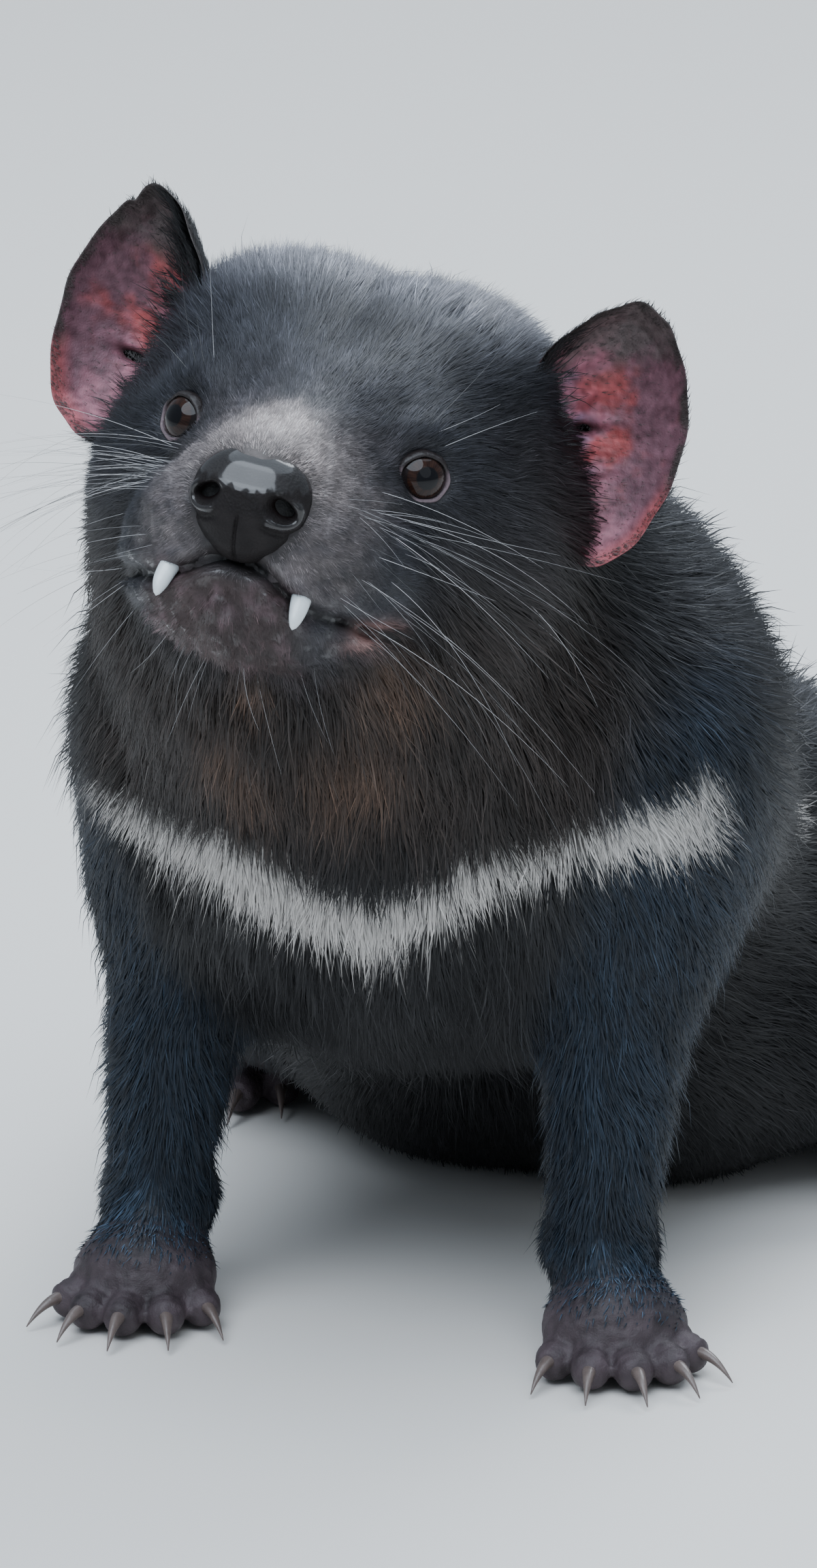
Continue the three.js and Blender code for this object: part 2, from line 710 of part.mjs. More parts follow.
const level = (height) => ({ at: [0, 0, height], towards: [0, 0, -1] });

function limbBox([x, y], side, { across, along, top }) {
  const middle = x * SIDES[side];
  return [[middle - across, y - along, BELOW_FLOOR], [middle + across, y + along, top]];
}

function claws(side, foot, toWorld) {
  return foot.toeAngles.map((angle, i) => {
    const [x, y] = toeEnd(angle, foot.toeLengths[i]);
    const [ux, uy] = toeEnd(angle, 1);
    const start = toWorld([x, y, foot.toeRadius * CLAW.rootHeight]);
    const reach = CLAW.length + foot.toeRadius * CLAW.sunk;
    const end = toWorld([x + ux * reach, y + uy * reach, CLAW.tipHeight]);
    return horn(start, end, [0, 0, CLAW.rise], CLAW.radius);
  });
}

function forefootToWorld(side) {
  const out = radians(FOREFOOT.turnedOut[side]);
  return ([x, y, z]) => {
    const dx = x * Math.cos(out) - y * Math.sin(out);
    const dy = x * Math.sin(out) + y * Math.cos(out);
    return [(FOREFOOT.ankle[0] + dx) * SIDES[side], FOREFOOT.ankle[1] + dy, z];
  };
}

const hindfootToWorld = (side) => ([x, y, z]) => [
  (HINDFOOT.ankle[0] + x) * SIDES[side],
  HINDFOOT.ankle[1] + y,
  z,
];

function buildForeleg(side) {
  const box = limbBox(FOREFOOT.ankle, side, LIMB_BOX.fore);
  const arm = solid(surface(foreLimbForm(side), box[0], box[1], STEP.forearm));
  const footTop = [box[1][0], box[1][1], LIMB_BOX.footTop];
  const paw = solid(surface(foreLimbForm(side), box[0], footTop, STEP.forefoot));
  const elbow = level(ELBOW_CUT);
  const wrist = level(WRIST_CUT);
  let foot = paw.subtract(floorBelow).intersect(beyond(wrist, GAP / 2));
  for (const claw of claws(side, FOREFOOT, forefootToWorld(side))) {
    foot = foot.add(claw);
  }
  return {
    upper: largest(trunkNet.intersect(forelegPart(side, -GAP / 2)).subtract(beyond(elbow, -GAP / 2))),
    forearm: largest(arm.intersect(forelegPart(side, -GAP / 2)).intersect(beyond(elbow, GAP / 2))
      .subtract(beyond(wrist, -GAP / 2))),
    foot: largest(foot),
  };
}

function buildHindleg(side) {
  const box = limbBox(HINDFOOT.ankle, side, LIMB_BOX.hind);
  const paw = solid(surface(hindLimbForm(side), box[0], box[1], STEP.hindfoot));
  const knee = mirroredCut(KNEE_CUT, side);
  const heel = mirroredCut(HEEL_CUT, side);
  const whole = trunkNet.intersect(hindPart(side, -GAP / 2));
  let foot = paw.subtract(floorBelow).intersect(beyond(heel, GAP / 2)).intersect(hindPart(side, -GAP / 2));
  for (const claw of claws(side, HINDFOOT, hindfootToWorld(side))) {
    foot = foot.add(claw);
  }
  return {
    thigh: largest(whole.subtract(beyond(knee, -GAP / 2)).subtract(beyond(heel, -GAP / 2))),
    shank: largest(whole.intersect(beyond(knee, GAP / 2)).subtract(beyond(heel, -GAP / 2))),
    foot: largest(foot),
  };
}

// Trunk and tail

function buildTorso() {
  let torso = trunkNet.subtract(beyond(NECK_CUT, -GAP / 2)).subtract(beyond(TAIL_CUT, -GAP / 2));
  for (const side of Object.keys(SIDES)) {
    torso = torso.subtract(forelegPart(side, GAP / 2)).subtract(hindPart(side, GAP / 2));
  }
  return largest(torso);
}

function buildNeck() {
  let neck = trunkNet.intersect(beyond(NECK_CUT, GAP / 2)).subtract(beyond(HEAD_CUT, -GAP / 2));
  for (const side of Object.keys(SIDES)) {
    neck = neck.subtract(forelegPart(side, GAP / 2)).subtract(earDish(side, GAP));
  }
  return largest(neck);
}

function buildTail() {
  const tail = bodySurface(TAIL_BOX, STEP.tail);
  const base = tail.intersect(beyond(TAIL_CUT, GAP / 2)).subtract(beyond(TAIL_TIP_CUT, -GAP / 2));
  return { base: largest(base), tip: largest(tail.intersect(beyond(TAIL_TIP_CUT, GAP / 2))) };
}

// The named parts

const devil = new THREE.Group();

function add(name, piece, [colour, roughness]) {
  const material = new THREE.MeshStandardMaterial({ color: colour, roughness, metalness: 0 });
  const mesh = new THREE.Mesh(geometryOf(piece), material);
  mesh.name = name;
  devil.add(mesh);
}

const { head, jaw } = buildHead();
add("head", head, COLOURS.face);
add("lower_jaw", jaw, COLOURS.muzzle);
add("nose", placed(nosePad(0).subtract(noseCuts())), COLOURS.nose);
add("neck", buildNeck(), COLOURS.throat);
add("torso", buildTorso(), COLOURS.fur);
const tail = buildTail();
add("tail_base", tail.base, COLOURS.fur);
add("tail_tip", tail.tip, COLOURS.fur);
for (const side of Object.keys(SIDES)) {
  add(`eye_${side}`, eyeBall(0, side), COLOURS.eye);
  add(`ear_${side}`, buildEar(side), COLOURS.ear);
  const foreleg = buildForeleg(side);
  add(`upper_foreleg_${side}`, foreleg.upper, COLOURS.leg);
  add(`forearm_${side}`, foreleg.forearm, COLOURS.leg);
  add(`forefoot_${side}`, foreleg.foot, COLOURS.foot);
  const hindleg = buildHindleg(side);
  add(`thigh_${side}`, hindleg.thigh, COLOURS.leg);
  add(`shank_${side}`, hindleg.shank, COLOURS.leg);
  add(`hindfoot_${side}`, hindleg.foot, COLOURS.foot);
}

// The origin is the middle of the floor under the animal's bounding box
const bounds = new THREE.Box3().setFromObject(devil);
const middle = bounds.getCenter(new THREE.Vector3());
for (const part of devil.children) {
  part.geometry.translate(-middle.x, -middle.y, -bounds.min.z);
}

export default devil;
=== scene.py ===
"""A Tasmanian devil at life size, sitting with its head raised, on a plain stage.

The forms are worked out in millimetres, in the animal's own frame: x to its left, y to its back,
z up, with z = 0 on the floor. place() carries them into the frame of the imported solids, in metres.
"""

import functools
import math

import bpy
import numpy as np
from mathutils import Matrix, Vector


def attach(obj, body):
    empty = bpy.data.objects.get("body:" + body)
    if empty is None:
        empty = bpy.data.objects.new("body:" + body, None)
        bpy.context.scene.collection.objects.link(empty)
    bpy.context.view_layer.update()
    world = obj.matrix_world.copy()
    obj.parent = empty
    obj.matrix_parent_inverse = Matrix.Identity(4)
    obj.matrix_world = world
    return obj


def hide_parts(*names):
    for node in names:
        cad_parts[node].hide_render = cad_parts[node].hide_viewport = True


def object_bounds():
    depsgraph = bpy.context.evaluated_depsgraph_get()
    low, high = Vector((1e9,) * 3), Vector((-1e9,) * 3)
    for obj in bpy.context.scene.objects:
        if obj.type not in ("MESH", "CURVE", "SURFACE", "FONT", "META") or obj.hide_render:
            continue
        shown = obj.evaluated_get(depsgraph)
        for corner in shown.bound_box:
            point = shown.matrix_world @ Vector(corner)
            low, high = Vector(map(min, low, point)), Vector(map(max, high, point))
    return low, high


bl_info = {
    "name": "Tasmanian Devil",
    "version": (1, 0, 0),
    "blender": (4, 5, 0),
    "location": "3D View > Sidebar > Devil",
    "description": "Builds the skin, coat, face and claws of a sitting Tasmanian devil",
    "category": "Object",
}

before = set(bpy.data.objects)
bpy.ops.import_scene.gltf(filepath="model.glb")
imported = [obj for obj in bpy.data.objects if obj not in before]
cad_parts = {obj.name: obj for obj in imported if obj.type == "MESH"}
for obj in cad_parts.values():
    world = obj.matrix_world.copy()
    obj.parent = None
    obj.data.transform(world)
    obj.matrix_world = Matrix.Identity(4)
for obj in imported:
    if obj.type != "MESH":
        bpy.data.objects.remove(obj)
SOLID_BOX = [list(corner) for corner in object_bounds()]

# The box that whiskers keep to, in millimetres: the solids' box made wider on all sides

WHISKERS_PAST = 8
WHISKER_LIMIT = np.array(SOLID_BOX) * 1000 + np.array([[-1], [1]]) * WHISKERS_PAST

# Sizes shared with the solids, in millimetres

HEAD_AT = (-4, -175, 268)
HEAD_TURN, HEAD_LIFT, HEAD_TILT = 7.7, 18.6, 10.7
CRANIUM = ((0, 44, 6), (56, 50, 44))
CROWN = ((22, 46, 24), (35, 40, 31))
CHEEK = ((31, 32, -16), (37, 42, 34))
FOREHEAD = ((0, 8, 8), (42, 32, 26))
ORBIT = ((24, 6, -8), (24, 24, 24))
MUZZLE = ((0, -18, -22), (34, 44, 26))
BRIDGE = ((0, 4, 4), (0, -50, -11), (20, 13))
LIP = ((15, -40, -26), (17, 19, 13))
FLEW = ((24, -14, -31), (18, 30, 17))
JAW = ((0, -4, -42), (38, 46, 22))
CHIN = ((0, -32, -46), (28, 25, 17))
MOUTH_MIDDLE, MOUTH_DROP, MOUTH_HALF_WIDTH, MOUTH_CORNER = -35.5, 9.5, 24, -14
EYE_SIDE, EYE_HEIGHT, EYE_RADIUS, EYE_PROUD, EYE_OUTWARD = 37, -0.5, 8.5, 0.4, 34
DISH_DEPTH, DISH_REACH = 2.3, 8.2
NOSE_AT, NOSE_SIZE, NOSE_TAPER = (0, -56, -21), (19.5, 13.5, 17), 0.14
NOSTRIL_SIDE, NOSTRIL_HEIGHT = 10.4, 0.6
NOSE_LOWER_SHARE = 0.9
CANINE_ROOT, CANINE_TIP = (17.5, -45, -36), (19.5, -56, -52)
CANINE_BOW, CANINE_RADIUS = (1.5, -5, 1), 2.9
EAR_AT, EAR_HALF_HEIGHT, EAR_HALF_WIDTH = (68, 38, 25), 37.5, 25
EAR_TIP_TAPER, EAR_TIP_OUT = 0.15, 6
EAR_CUP, EAR_THICKNESS, EAR_LEAN, EAR_OUTWARD, EAR_ROLL = 17, 2.6, -5, 16, 3

CHEST = ((-4, -88, 160), (94, 62, 80))
SHOULDERS = ((-1, -38, 142), (89, 74, 76))
BELLY = ((0, 36, 79), (88, 88, 85))
RUMP = ((0, 106, 67), (88, 78, 71))
LAP = ((36, 30, 36), (52, 54, 40))
NECK = ((-13, -116, 224), (-4, -74, 170), (73, 83))
THROAT = ((-6, -155, 217), (-2, -112, 155), (54, 65))
FORELEG_SHOULDER = ((62, -100, 148), (36, 46, 60))
FORELEG_LOWER = ((66, -114, 112), (68, -136, 34), (25, 16))
FOREFOOT_ANKLE = (68, -134, 0)
FOREFOOT_OUT = {1: 32, -1: -6}
FOREFOOT_HAND = ((0, 4, 28), (0, -14, 16), (15.5, 14))
FOREFOOT_PALM = ((0, -16, 12), (21, 18, 13))
FOREFOOT_TOES = ((-37, 33), (-18, 38), (0, 40), (17, 38.5), (34, 34))
FOREFOOT_TOE_RADIUS = 5.8
HIND_THIGH = ((76, 82, 62), (38, 62, 54))
HIND_SHANK = ((95, 34, 40), (110, 126, 20), (27, 17))
HINDFOOT_ANKLE = (113, 84, 0)
HINDFOOT_SOLE = ((-2, 50, 14.5), (0, -12.5, 11.6), (14.5, 13))
HINDFOOT_TOES = ((-21, 44), (-7, 52), (7, 52), (21, 46))
HINDFOOT_TOE_RADIUS = 6
CLAW_LENGTH, CLAW_RADIUS, CLAW_RISE, CLAW_TIP_HEIGHT = 13, 2.9, 4, 1.6
TAIL_LINE = ((0, 158, 40), (2, 196, 31), (0, 250, 25), (-10, 305, 20), (-26, 358, 14), (-42, 402, 8))
TAIL_RADII = (42, 33, 27, 22, 16, 9)
FLOW_HEAD, FLOW_FACE, FLOW_LIPS = 16, 14, 8
FLOW_TRUNK, FLOW_NECK, FLOW_TAIL = 45, 40, 28
FLOW_LEG, FLOW_TOE, FLOW_KNUCKLE = 22, 2.6, 2
SIDES = (1, -1)
SIDE_NAMES = ((1, "left"), (-1, "right"))
FEET_BELOW = 90
FAR = 1e3

# Depth of the lying coat over the skin, by part

DEPTH_MUZZLE, DEPTH_CRANIUM = 0.5, 2.6
DEPTH_TRUNK, DEPTH_LEG, DEPTH_FOOT, DEPTH_TAIL = 5.0, 3.4, 0.2, 4.0


# Forms: each gives the distance from points (rows) to its surface, below zero inside


def egg(p, at, size):
    """Ellipsoid: scaled radius k0, k0 (k0 - 1) / k1 with k1 the length of p / size squared."""
    size = np.asarray(size, float)
    q = (p - np.asarray(at, float)) / size
    level = np.sqrt((q * q).sum(-1)) + 1e-9
    q /= size
    return level * (level - 1) / (np.sqrt((q * q).sum(-1)) + 1e-9)


def bar(p, start, end, radii):
    """Round bar: distance to the segment less a radius that changes evenly along it."""
    a, b = np.asarray(start, float), np.asarray(end, float)
    along = np.clip((p - a) @ (b - a) / ((b - a) @ (b - a)), 0, 1)
    away = p - a - along[..., None] * (b - a)
    return np.sqrt((away * away).sum(-1)) - radii[0] - along * (radii[1] - radii[0])


def join(a, b, flow):
    """Smooth union: the smaller of the two less h squared times flow / 4, h = 1 - |a - b| / flow."""
    h = np.maximum(flow - np.abs(a - b), 0) / flow
    return np.minimum(a, b) - h * h * flow / 4


def ramp(x, low, high):
    """0 below low, 1 above high, 3t^2 - 2t^3 between."""
    t = np.clip((x - low) / (high - low), 0, 1)
    return t * t * (3 - 2 * t)


def bell(*terms):
    """Bell curve over pairs x, reach: exp of minus the sum of (x / reach)^2."""
    return np.exp(-sum((x / reach) ** 2 for x, reach in zip(terms[::2], terms[1::2])))


def rows(v):
    """Each row divided by its length."""
    return v / (np.linalg.norm(v, axis=-1, keepdims=True) + 1e-9)


def turns(count):
    """Even angles round a circle, the last one short of the first."""
    return np.linspace(0, 2 * math.pi, count, endpoint=False)


SINES = 7


def waves(p, size, seed):
    """Smooth random field from -1 to 1: the sum of sines in random directions, about size across,
    divided by the root of their count."""
    draw = np.random.default_rng(seed)
    total = 0
    for _ in range(SINES):
        way = draw.normal(size=3)
        way *= 2 * math.pi / (size * draw.uniform(0.7, 1.6)) / np.linalg.norm(way)
        total = total + np.sin(p @ way + draw.uniform(0, 2 * math.pi))
    return np.clip(total / math.sqrt(SINES), -1.5, 1.5) / 1.5


def head_axes():
    """Columns are the head's x, y and z: turned about z, lifted about x, then tilted about y."""
    t, l, r = (math.radians(v) for v in (HEAD_TURN, -HEAD_LIFT, HEAD_TILT))
    about_z = np.array([[math.cos(t), -math.sin(t), 0], [math.sin(t), math.cos(t), 0], [0, 0, 1]])
    about_x = np.array([[1, 0, 0], [0, math.cos(l), -math.sin(l)], [0, math.sin(l), math.cos(l)]])
    about_y = np.array([[math.cos(r), 0, math.sin(r)], [0, 1, 0], [-math.sin(r), 0, math.cos(r)]])
    return about_z @ about_x @ about_y


HEAD_AXES = head_axes()


def in_head(p):
    """From the animal's frame to the head's."""
    return (p - np.array(HEAD_AT, float)) @ HEAD_AXES


def out_of_head(h):
    """From the head's frame to the animal's."""
    return h @ HEAD_AXES.T + np.array(HEAD_AT, float)


def mirror(p, side):
    """The point itself for side 1, its mirror image across x = 0 for side -1."""
    return p * np.array([side, 1, 1])


def folded(p):
    """Both sides laid on the left one: x without its sign."""
    return np.concatenate([np.abs(p[..., :1]), p[..., 1:]], -1)


def head_form(h):
    """The head without its coat's depth taken off: eggs and a bar flowing into one another."""
    paired = folded(h)
    form = egg(h, *CRANIUM)
    form = join(form, egg(paired, *CROWN), FLOW_FACE)
    form = join(form, egg(paired, *CHEEK), FLOW_HEAD)
    form = join(form, egg(h, *FOREHEAD), FLOW_HEAD)
    form = join(form, egg(paired, *ORBIT), FLOW_FACE)
    form = join(form, egg(h, *MUZZLE), FLOW_HEAD)
    form = join(form, bar(h, *BRIDGE), FLOW_FACE)
    form = join(form, egg(paired, *LIP), FLOW_LIPS)
    form = join(form, egg(paired, *FLEW), FLOW_LIPS)
    form = join(form, egg(h, *JAW), FLOW_FACE)
    return join(form, egg(h, *CHIN), FLOW_LIPS)


def mouth_line(x):
    """Height of the line where the lips meet, in the head's frame, over its half width."""
    return MOUTH_MIDDLE - MOUTH_DROP * ramp(np.abs(x), 1, MOUTH_HALF_WIDTH)


def face_details(h):
    """What the skin adds to the face, in millimetres inwards: the mouth's crease and lips, the groove
    under the nose, folds round the eyes, rows of whisker roots, and the chin's and muzzle's bumps."""
    x, y, z = h[..., 0], h[..., 1], h[..., 2]
    near = ramp(-y, -MOUTH_CORNER - 12, -MOUTH_CORNER + 2)
    over = z - mouth_line(x)
    crease = 2.6 * bell(over, 2.1) * near
    lip_roll = -1.3 * bell(over - 4.4, 2.6) * near
    lip_roll -= 1.2 * bell(over + 4.6, 2.8) * near
    over_tooth = -1.8 * spot(folded(h), (18.5, -50, -38.5), (5.5, 8, 3.4))
    philtrum = 1.3 * bell(x, 1.3) * ramp(-y, 44, 52) * ramp(-z, 24, 30) * ramp(z, -37, -34)
    brow = -1.6 * bell(np.abs(x) - 31, 9, z - 11, 4.5) * ramp(-y, -12, 4)
    under = 1.3 * bell(np.abs(x) - 33, 8, z + 12.5, 2.2) * ramp(-y, -12, 4)
    stop = 1.2 * bell(x, 9, y + 6, 12) * ramp(z, 5, 12)
    pad = bell(np.abs(x) - 23, 9) * ramp(-y, 16, 30) * ramp(z, -42, -32)
    whisker_rows = 0.32 * np.sin(z * 1.25 + x * 0.25) * np.sin(y * 0.9 + z * 0.3) * pad
    below = ramp(-z, 40, 45) * ramp(-y, -4, 12)
    chin = 0.9 * waves(h, 8, 13) * below + 0.5 * waves(h, 4, 14) * below
    muzzle = 0.35 * waves(h, 6, 15) * ramp(-y, 20, 40) * ramp(z, -42, -34)
    folds = crease + lip_roll + over_tooth + philtrum + brow + under + stop
    return folds + whisker_rows + chin + muzzle + eye_dish(h)


def eye_dish(h):
    """The hollow that the eye stands in: depth times exp(-(distance from the gaze axis / reach)^4)."""
    from_eye = folded(h) - eye_centre(1)
    along = from_eye @ gaze(1)
    away = np.sqrt(np.maximum((from_eye * from_eye).sum(-1) - along * along, 0))
    return DISH_DEPTH * np.exp(-((away / DISH_REACH) ** 4)) * ramp(along, -2, 3)


def head_depth(h):
    """Depth of the coat on the head: least at the muzzle, most on the cranium."""
    return DEPTH_MUZZLE + (DEPTH_CRANIUM - DEPTH_MUZZLE) * ramp(h[..., 1], -38, 18)


def trunk_form(p):
    """Breast, shoulders, belly, rump and lap as eggs, with the neck and throat as bars."""
    form = egg(p, *CHEST)
    form = join(form, egg(p, *SHOULDERS), FLOW_TRUNK)
    form = join(form, egg(p, *BELLY), FLOW_TRUNK)
    form = join(form, egg(p, *RUMP), FLOW_TRUNK)
    form = join(form, egg(folded(p), *LAP), FLOW_LEG)
    return join(form, join(bar(p, *NECK), bar(p, *THROAT), FLOW_NECK), FLOW_NECK)


def tail_form(p):
    """Bars along the tail's line, each from one radius to the next."""
    form = None
    for i in range(1, len(TAIL_LINE)):
        length = bar(p, TAIL_LINE[i - 1], TAIL_LINE[i], TAIL_RADII[i - 1 : i + 1])
        form = length if form is None else join(form, length, FLOW_LIPS)
    return form


def foreleg_form(q):
    """Shoulder and lower leg of the left side."""
    return join(egg(q, *FORELEG_SHOULDER), bar(q, *FORELEG_LOWER), FLOW_LEG)


def thigh_form(q):
    """Thigh and shank of the left side."""
    return join(egg(q, *HIND_THIGH), bar(q, *HIND_SHANK), FLOW_LEG)


def forefoot_axes(side):
    """Columns are the forefoot's own x and y, turned outwards, and z."""
    out = math.radians(FOREFOOT_OUT[side])
    return np.array([[math.cos(out), -math.sin(out), 0], [math.sin(out), math.cos(out), 0], [0, 0, 1]])


def toe_end(angle, length):
    """Place of a toe's end on the floor, at an angle from straight forwards."""
    return math.sin(math.radians(angle)) * length, -math.cos(math.radians(angle)) * length


def toes(f, form, lengths, radius):
    """Bars from the foot out to each toe's pad, a knuckle raised on each, and folds across them all:
    a sine of the distance from the ankle, on their upper side."""
    for angle, length in lengths:
        x, y = toe_end(angle, length)
        root = (x * 0.5, y * 0.45, radius * 1.6)
        form = join(form, bar(f, root, (x, y, radius * 1.1), (radius + 0.5, radius)), FLOW_TOE)
        knuckle = egg(f, (x * 0.74, y * 0.72, radius * 1.72), (radius * 0.66, radius * 0.75, 3.2))
        form = join(form, knuckle, FLOW_KNUCKLE)
    away = np.sqrt(f[..., 0] ** 2 + f[..., 1] ** 2)
    return form + 0.24 * np.sin(2.0 * away) * ramp(f[..., 2], 3, 8) * ramp(away, 8, 22)


def forefoot_form(q, side):
    """Hand, palm and toes, in the foot's own frame."""
    f = (q - np.array(FOREFOOT_ANKLE, float)) @ forefoot_axes(side)
    hand = join(bar(f, *FOREFOOT_HAND), egg(f, *FOREFOOT_PALM), FLOW_LIPS)
    return toes(f, hand, FOREFOOT_TOES, FOREFOOT_TOE_RADIUS)


def hindfoot_form(q):
    """Sole and toes, in the foot's own frame."""
    f = q - np.array(HINDFOOT_ANKLE, float)
    return toes(f, bar(f, *HINDFOOT_SOLE), HINDFOOT_TOES, HINDFOOT_TOE_RADIUS)


def parts_of(p):
    """The forms of the parts, each less its coat's depth. Feet count only for points near the floor."""
    h = in_head(p)
    found = {"head": head_form(h) + head_depth(h) + face_details(h)}
    found["trunk"] = trunk_form(p) + DEPTH_TRUNK
    found["tail"] = tail_form(p) + DEPTH_TAIL
    near_floor = p[..., 2].min() < FEET_BELOW
    far = np.full(p.shape[:-1], FAR)
    for side in SIDES:
        q = mirror(p, side)
        found["foreleg", side] = foreleg_form(q) + DEPTH_LEG
        found["thigh", side] = thigh_form(q) + DEPTH_LEG
        found["forefoot", side] = forefoot_form(q, side) + DEPTH_FOOT if near_floor else far
        found["hindfoot", side] = hindfoot_form(q) + DEPTH_FOOT if near_floor else far
    return found


def skin_form(p):
    """The whole skin: the parts joined smoothly, flat on the floor."""
    part = parts_of(p)
    form = join(part["trunk"], part["tail"], FLOW_TAIL)
    for side in SIDES:
        form = join(form, part["foreleg", side], FLOW_LEG)
        form = join(form, part["thigh", side], FLOW_LEG)
    form = join(form, part["head"], FLOW_HEAD)
    for side in SIDES:
        form = join(form, part["forefoot", side], FLOW_LIPS)
        form = join(form, part["hindfoot", side], FLOW_LIPS)
    return np.maximum(form, 0.4 - p[..., 2])


def slope(form, p, reach=0.4):
    """Gradient of a form by central differences."""
    columns = []
    for axis in range(3):
        d = np.zeros(3)
        d[axis] = reach
        columns.append((form(p + d) - form(p - d)) / (2 * reach))
    return np.stack(columns, -1)


# Fine regions of the skin: the face and the feet have nets of their own, of a finer step. Where one
# net's share falls to nothing it sinks a little under the other, and both lie on the form between.

BODY_BOX = ((-146, -262, -10), (146, 420, 338))
FACE_BOX = ((-76, -266, 184), (70, -148, 334))
FOOT_HALF_WIDTH, FOOT_FLOOR, FOOT_TOP = 46, -6, 48
FACE_STEP, BODY_STEP, FOOT_STEP = 1.25, 3.6, 1.5
SUNK, SUNK_FROM = 1.3, 0.6


def face_share(p):
    """1 on the face, 0 behind it and on the neck, even between."""
    h = in_head(p)
    return 1 - ramp(h[..., 1] - 0.25 * h[..., 2], 2, 14)


def foot_share(p):
    """1 on the feet, 0 over the ankles and away from them."""
    return (1 - ramp(p[..., 2], 26, 38)) * near_feet(p)


def fine_share(p):
    """1 where the face's or a foot's net shows, 0 where the body's does."""
    return np.maximum(face_share(p), foot_share(p))


def net(form, low, high, step):
    """Surface net: one vertex in each cell that the surface crosses, at the mean of the crossings on
    its edges, moved on to the form along its slope, and one quad across each crossed edge."""
    axes = [np.arange(a, b + step, step) for a, b in zip(low, high)]
    shape = tuple(len(a) for a in axes)
    points = np.stack(np.meshgrid(*axes, indexing="ij"), -1)
    value = np.empty(shape)
    for i in range(shape[0]):
        value[i] = form(points[i])
    for axis in range(3):
        edge = [slice(None)] * 3
        for edge[axis] in (0, -1):
            value[tuple(edge)] = step
    inside = value < 0
    corners = np.array([(i, j, k) for i in (0, 1) for j in (0, 1) for k in (0, 1)])
    near = [inside[tuple(slice(c, n - 1 + c) for c, n in zip(corner, shape))] for corner in corners]
    filled = sum(n.astype(np.int8) for n in near)
    cells = (filled > 0) & (filled < 8)
    index = np.full(cells.shape, -1, np.int64)
    at = np.argwhere(cells)
    index[cells] = np.arange(len(at))
    total, crossings = np.zeros((len(at), 3)), np.zeros(len(at))
    for a in range(8):
        for b in range(a + 1, 8):
            way = corners[b] - corners[a]
            if abs(way).sum() != 1:
                continue
            first, second = at + corners[a], at + corners[b]
            va, vb = value[tuple(first.T)], value[tuple(second.T)]
            crossed = (va < 0) != (vb < 0)
            share = np.where(crossed, va / (va - vb + 1e-12), 0)[:, None]
            total += np.where(crossed[:, None], first + share * way, 0)
            crossings += crossed
    vertices = total / crossings[:, None] * step + np.asarray(low, float)
    quads = []
    for axis in range(3):
        start, end = [slice(None)] * 3, [slice(None)] * 3
        start[axis], end[axis] = slice(0, -1), slice(1, None)
        edges = np.argwhere(inside[tuple(start)] != inside[tuple(end)])
        flip = ~inside[tuple(start)][tuple(edges.T)]
        du, dw = np.zeros(3, int), np.zeros(3, int)
        du[(axis + 1) % 3], dw[(axis + 2) % 3] = 1, 1
        ring = [edges - du - dw, edges - dw, edges, edges - du]
        quad = np.stack([index[tuple(r.T)] for r in ring], 1)
        quad[flip] = quad[flip][:, ::-1]
        quads.append(quad)
    for _ in range(2):
        steep = slope(form, vertices)
        move = form(vertices) / np.maximum((steep * steep).sum(-1), 0.2)
        vertices = vertices - steep * np.clip(move, -0.3 * step, 0.3 * step)[:, None]
    return vertices, np.concatenate(quads)


def sunk_net(other, low, high, step):
    """A net of the skin within a box, that sinks where the other net's share nears 1."""
    return net(lambda p: skin_form(p) + SUNK * ramp(other(p), SUNK_FROM, 1), low, high, step)


@functools.lru_cache(maxsize=None)
def skin_net():
    """Vertices and quads of the whole skin, body, face and four feet, and whether each quad is fine."""
    nets = [sunk_net(fine_share, *BODY_BOX, BODY_STEP)]
    nets.append(sunk_net(lambda p: 1 - face_share(p), *FACE_BOX, FACE_STEP))
    for side in SIDES:
        for ankle, reach in ((FOREFOOT_ANKLE, 58), (HINDFOOT_ANKLE, 66)):
            x, y = ankle[0] * side, ankle[1]
            low = (x - FOOT_HALF_WIDTH, y - reach, FOOT_FLOOR)
            high = (x + FOOT_HALF_WIDTH, y + reach, FOOT_TOP)
            nets.append(sunk_net(lambda p: 1 - foot_share(p), low, high, FOOT_STEP))
    vertices, quads, count = [], [], 0
    for v, q in nets:
        vertices.append(v)
        quads.append(q + count)
        count += len(v)
    fine = np.arange(sum(map(len, quads))) >= len(quads[0])
    return np.concatenate(vertices), np.concatenate(quads), fine


def near_feet(p):
    """1 within the boxes round the feet, falling to 0 at their sides."""
    share = 0
    for side in SIDES:
        for ankle, reach in ((FOREFOOT_ANKLE, 50), (HINDFOOT_ANKLE, 58)):
            across = 1 - ramp(np.abs(p[..., 0] - ankle[0] * side), 34, 42)
            along = 1 - ramp(np.abs(p[..., 1] - ankle[1]), reach - 6, reach)
            share = np.maximum(share, across * along)
    return share


# Markings: colours of the coat and skin by place


def spot(p, at, reach):
    """1 at a point, falling as a bell curve over reach."""
    d = (p - np.asarray(at, float)) / np.asarray(reach, float)
    return np.exp(-(d * d).sum(-1))


def blend(colour, other, share):
    """The colour carried towards the other by share, kept between 0 and 1."""
    return colour + (np.asarray(other, float) - colour) * np.clip(share, 0, 1)[..., None]


def trunk_and_limb(part):
    """Distances to the trunk with its tail, and to the nearest leg or foot."""
    limb = np.minimum.reduce([part[k] for k in part if isinstance(k, tuple)])
    return np.minimum(part["trunk"], part["tail"]), limb


# Roots of the white band's hair: its upper and lower edge at some places across the breast

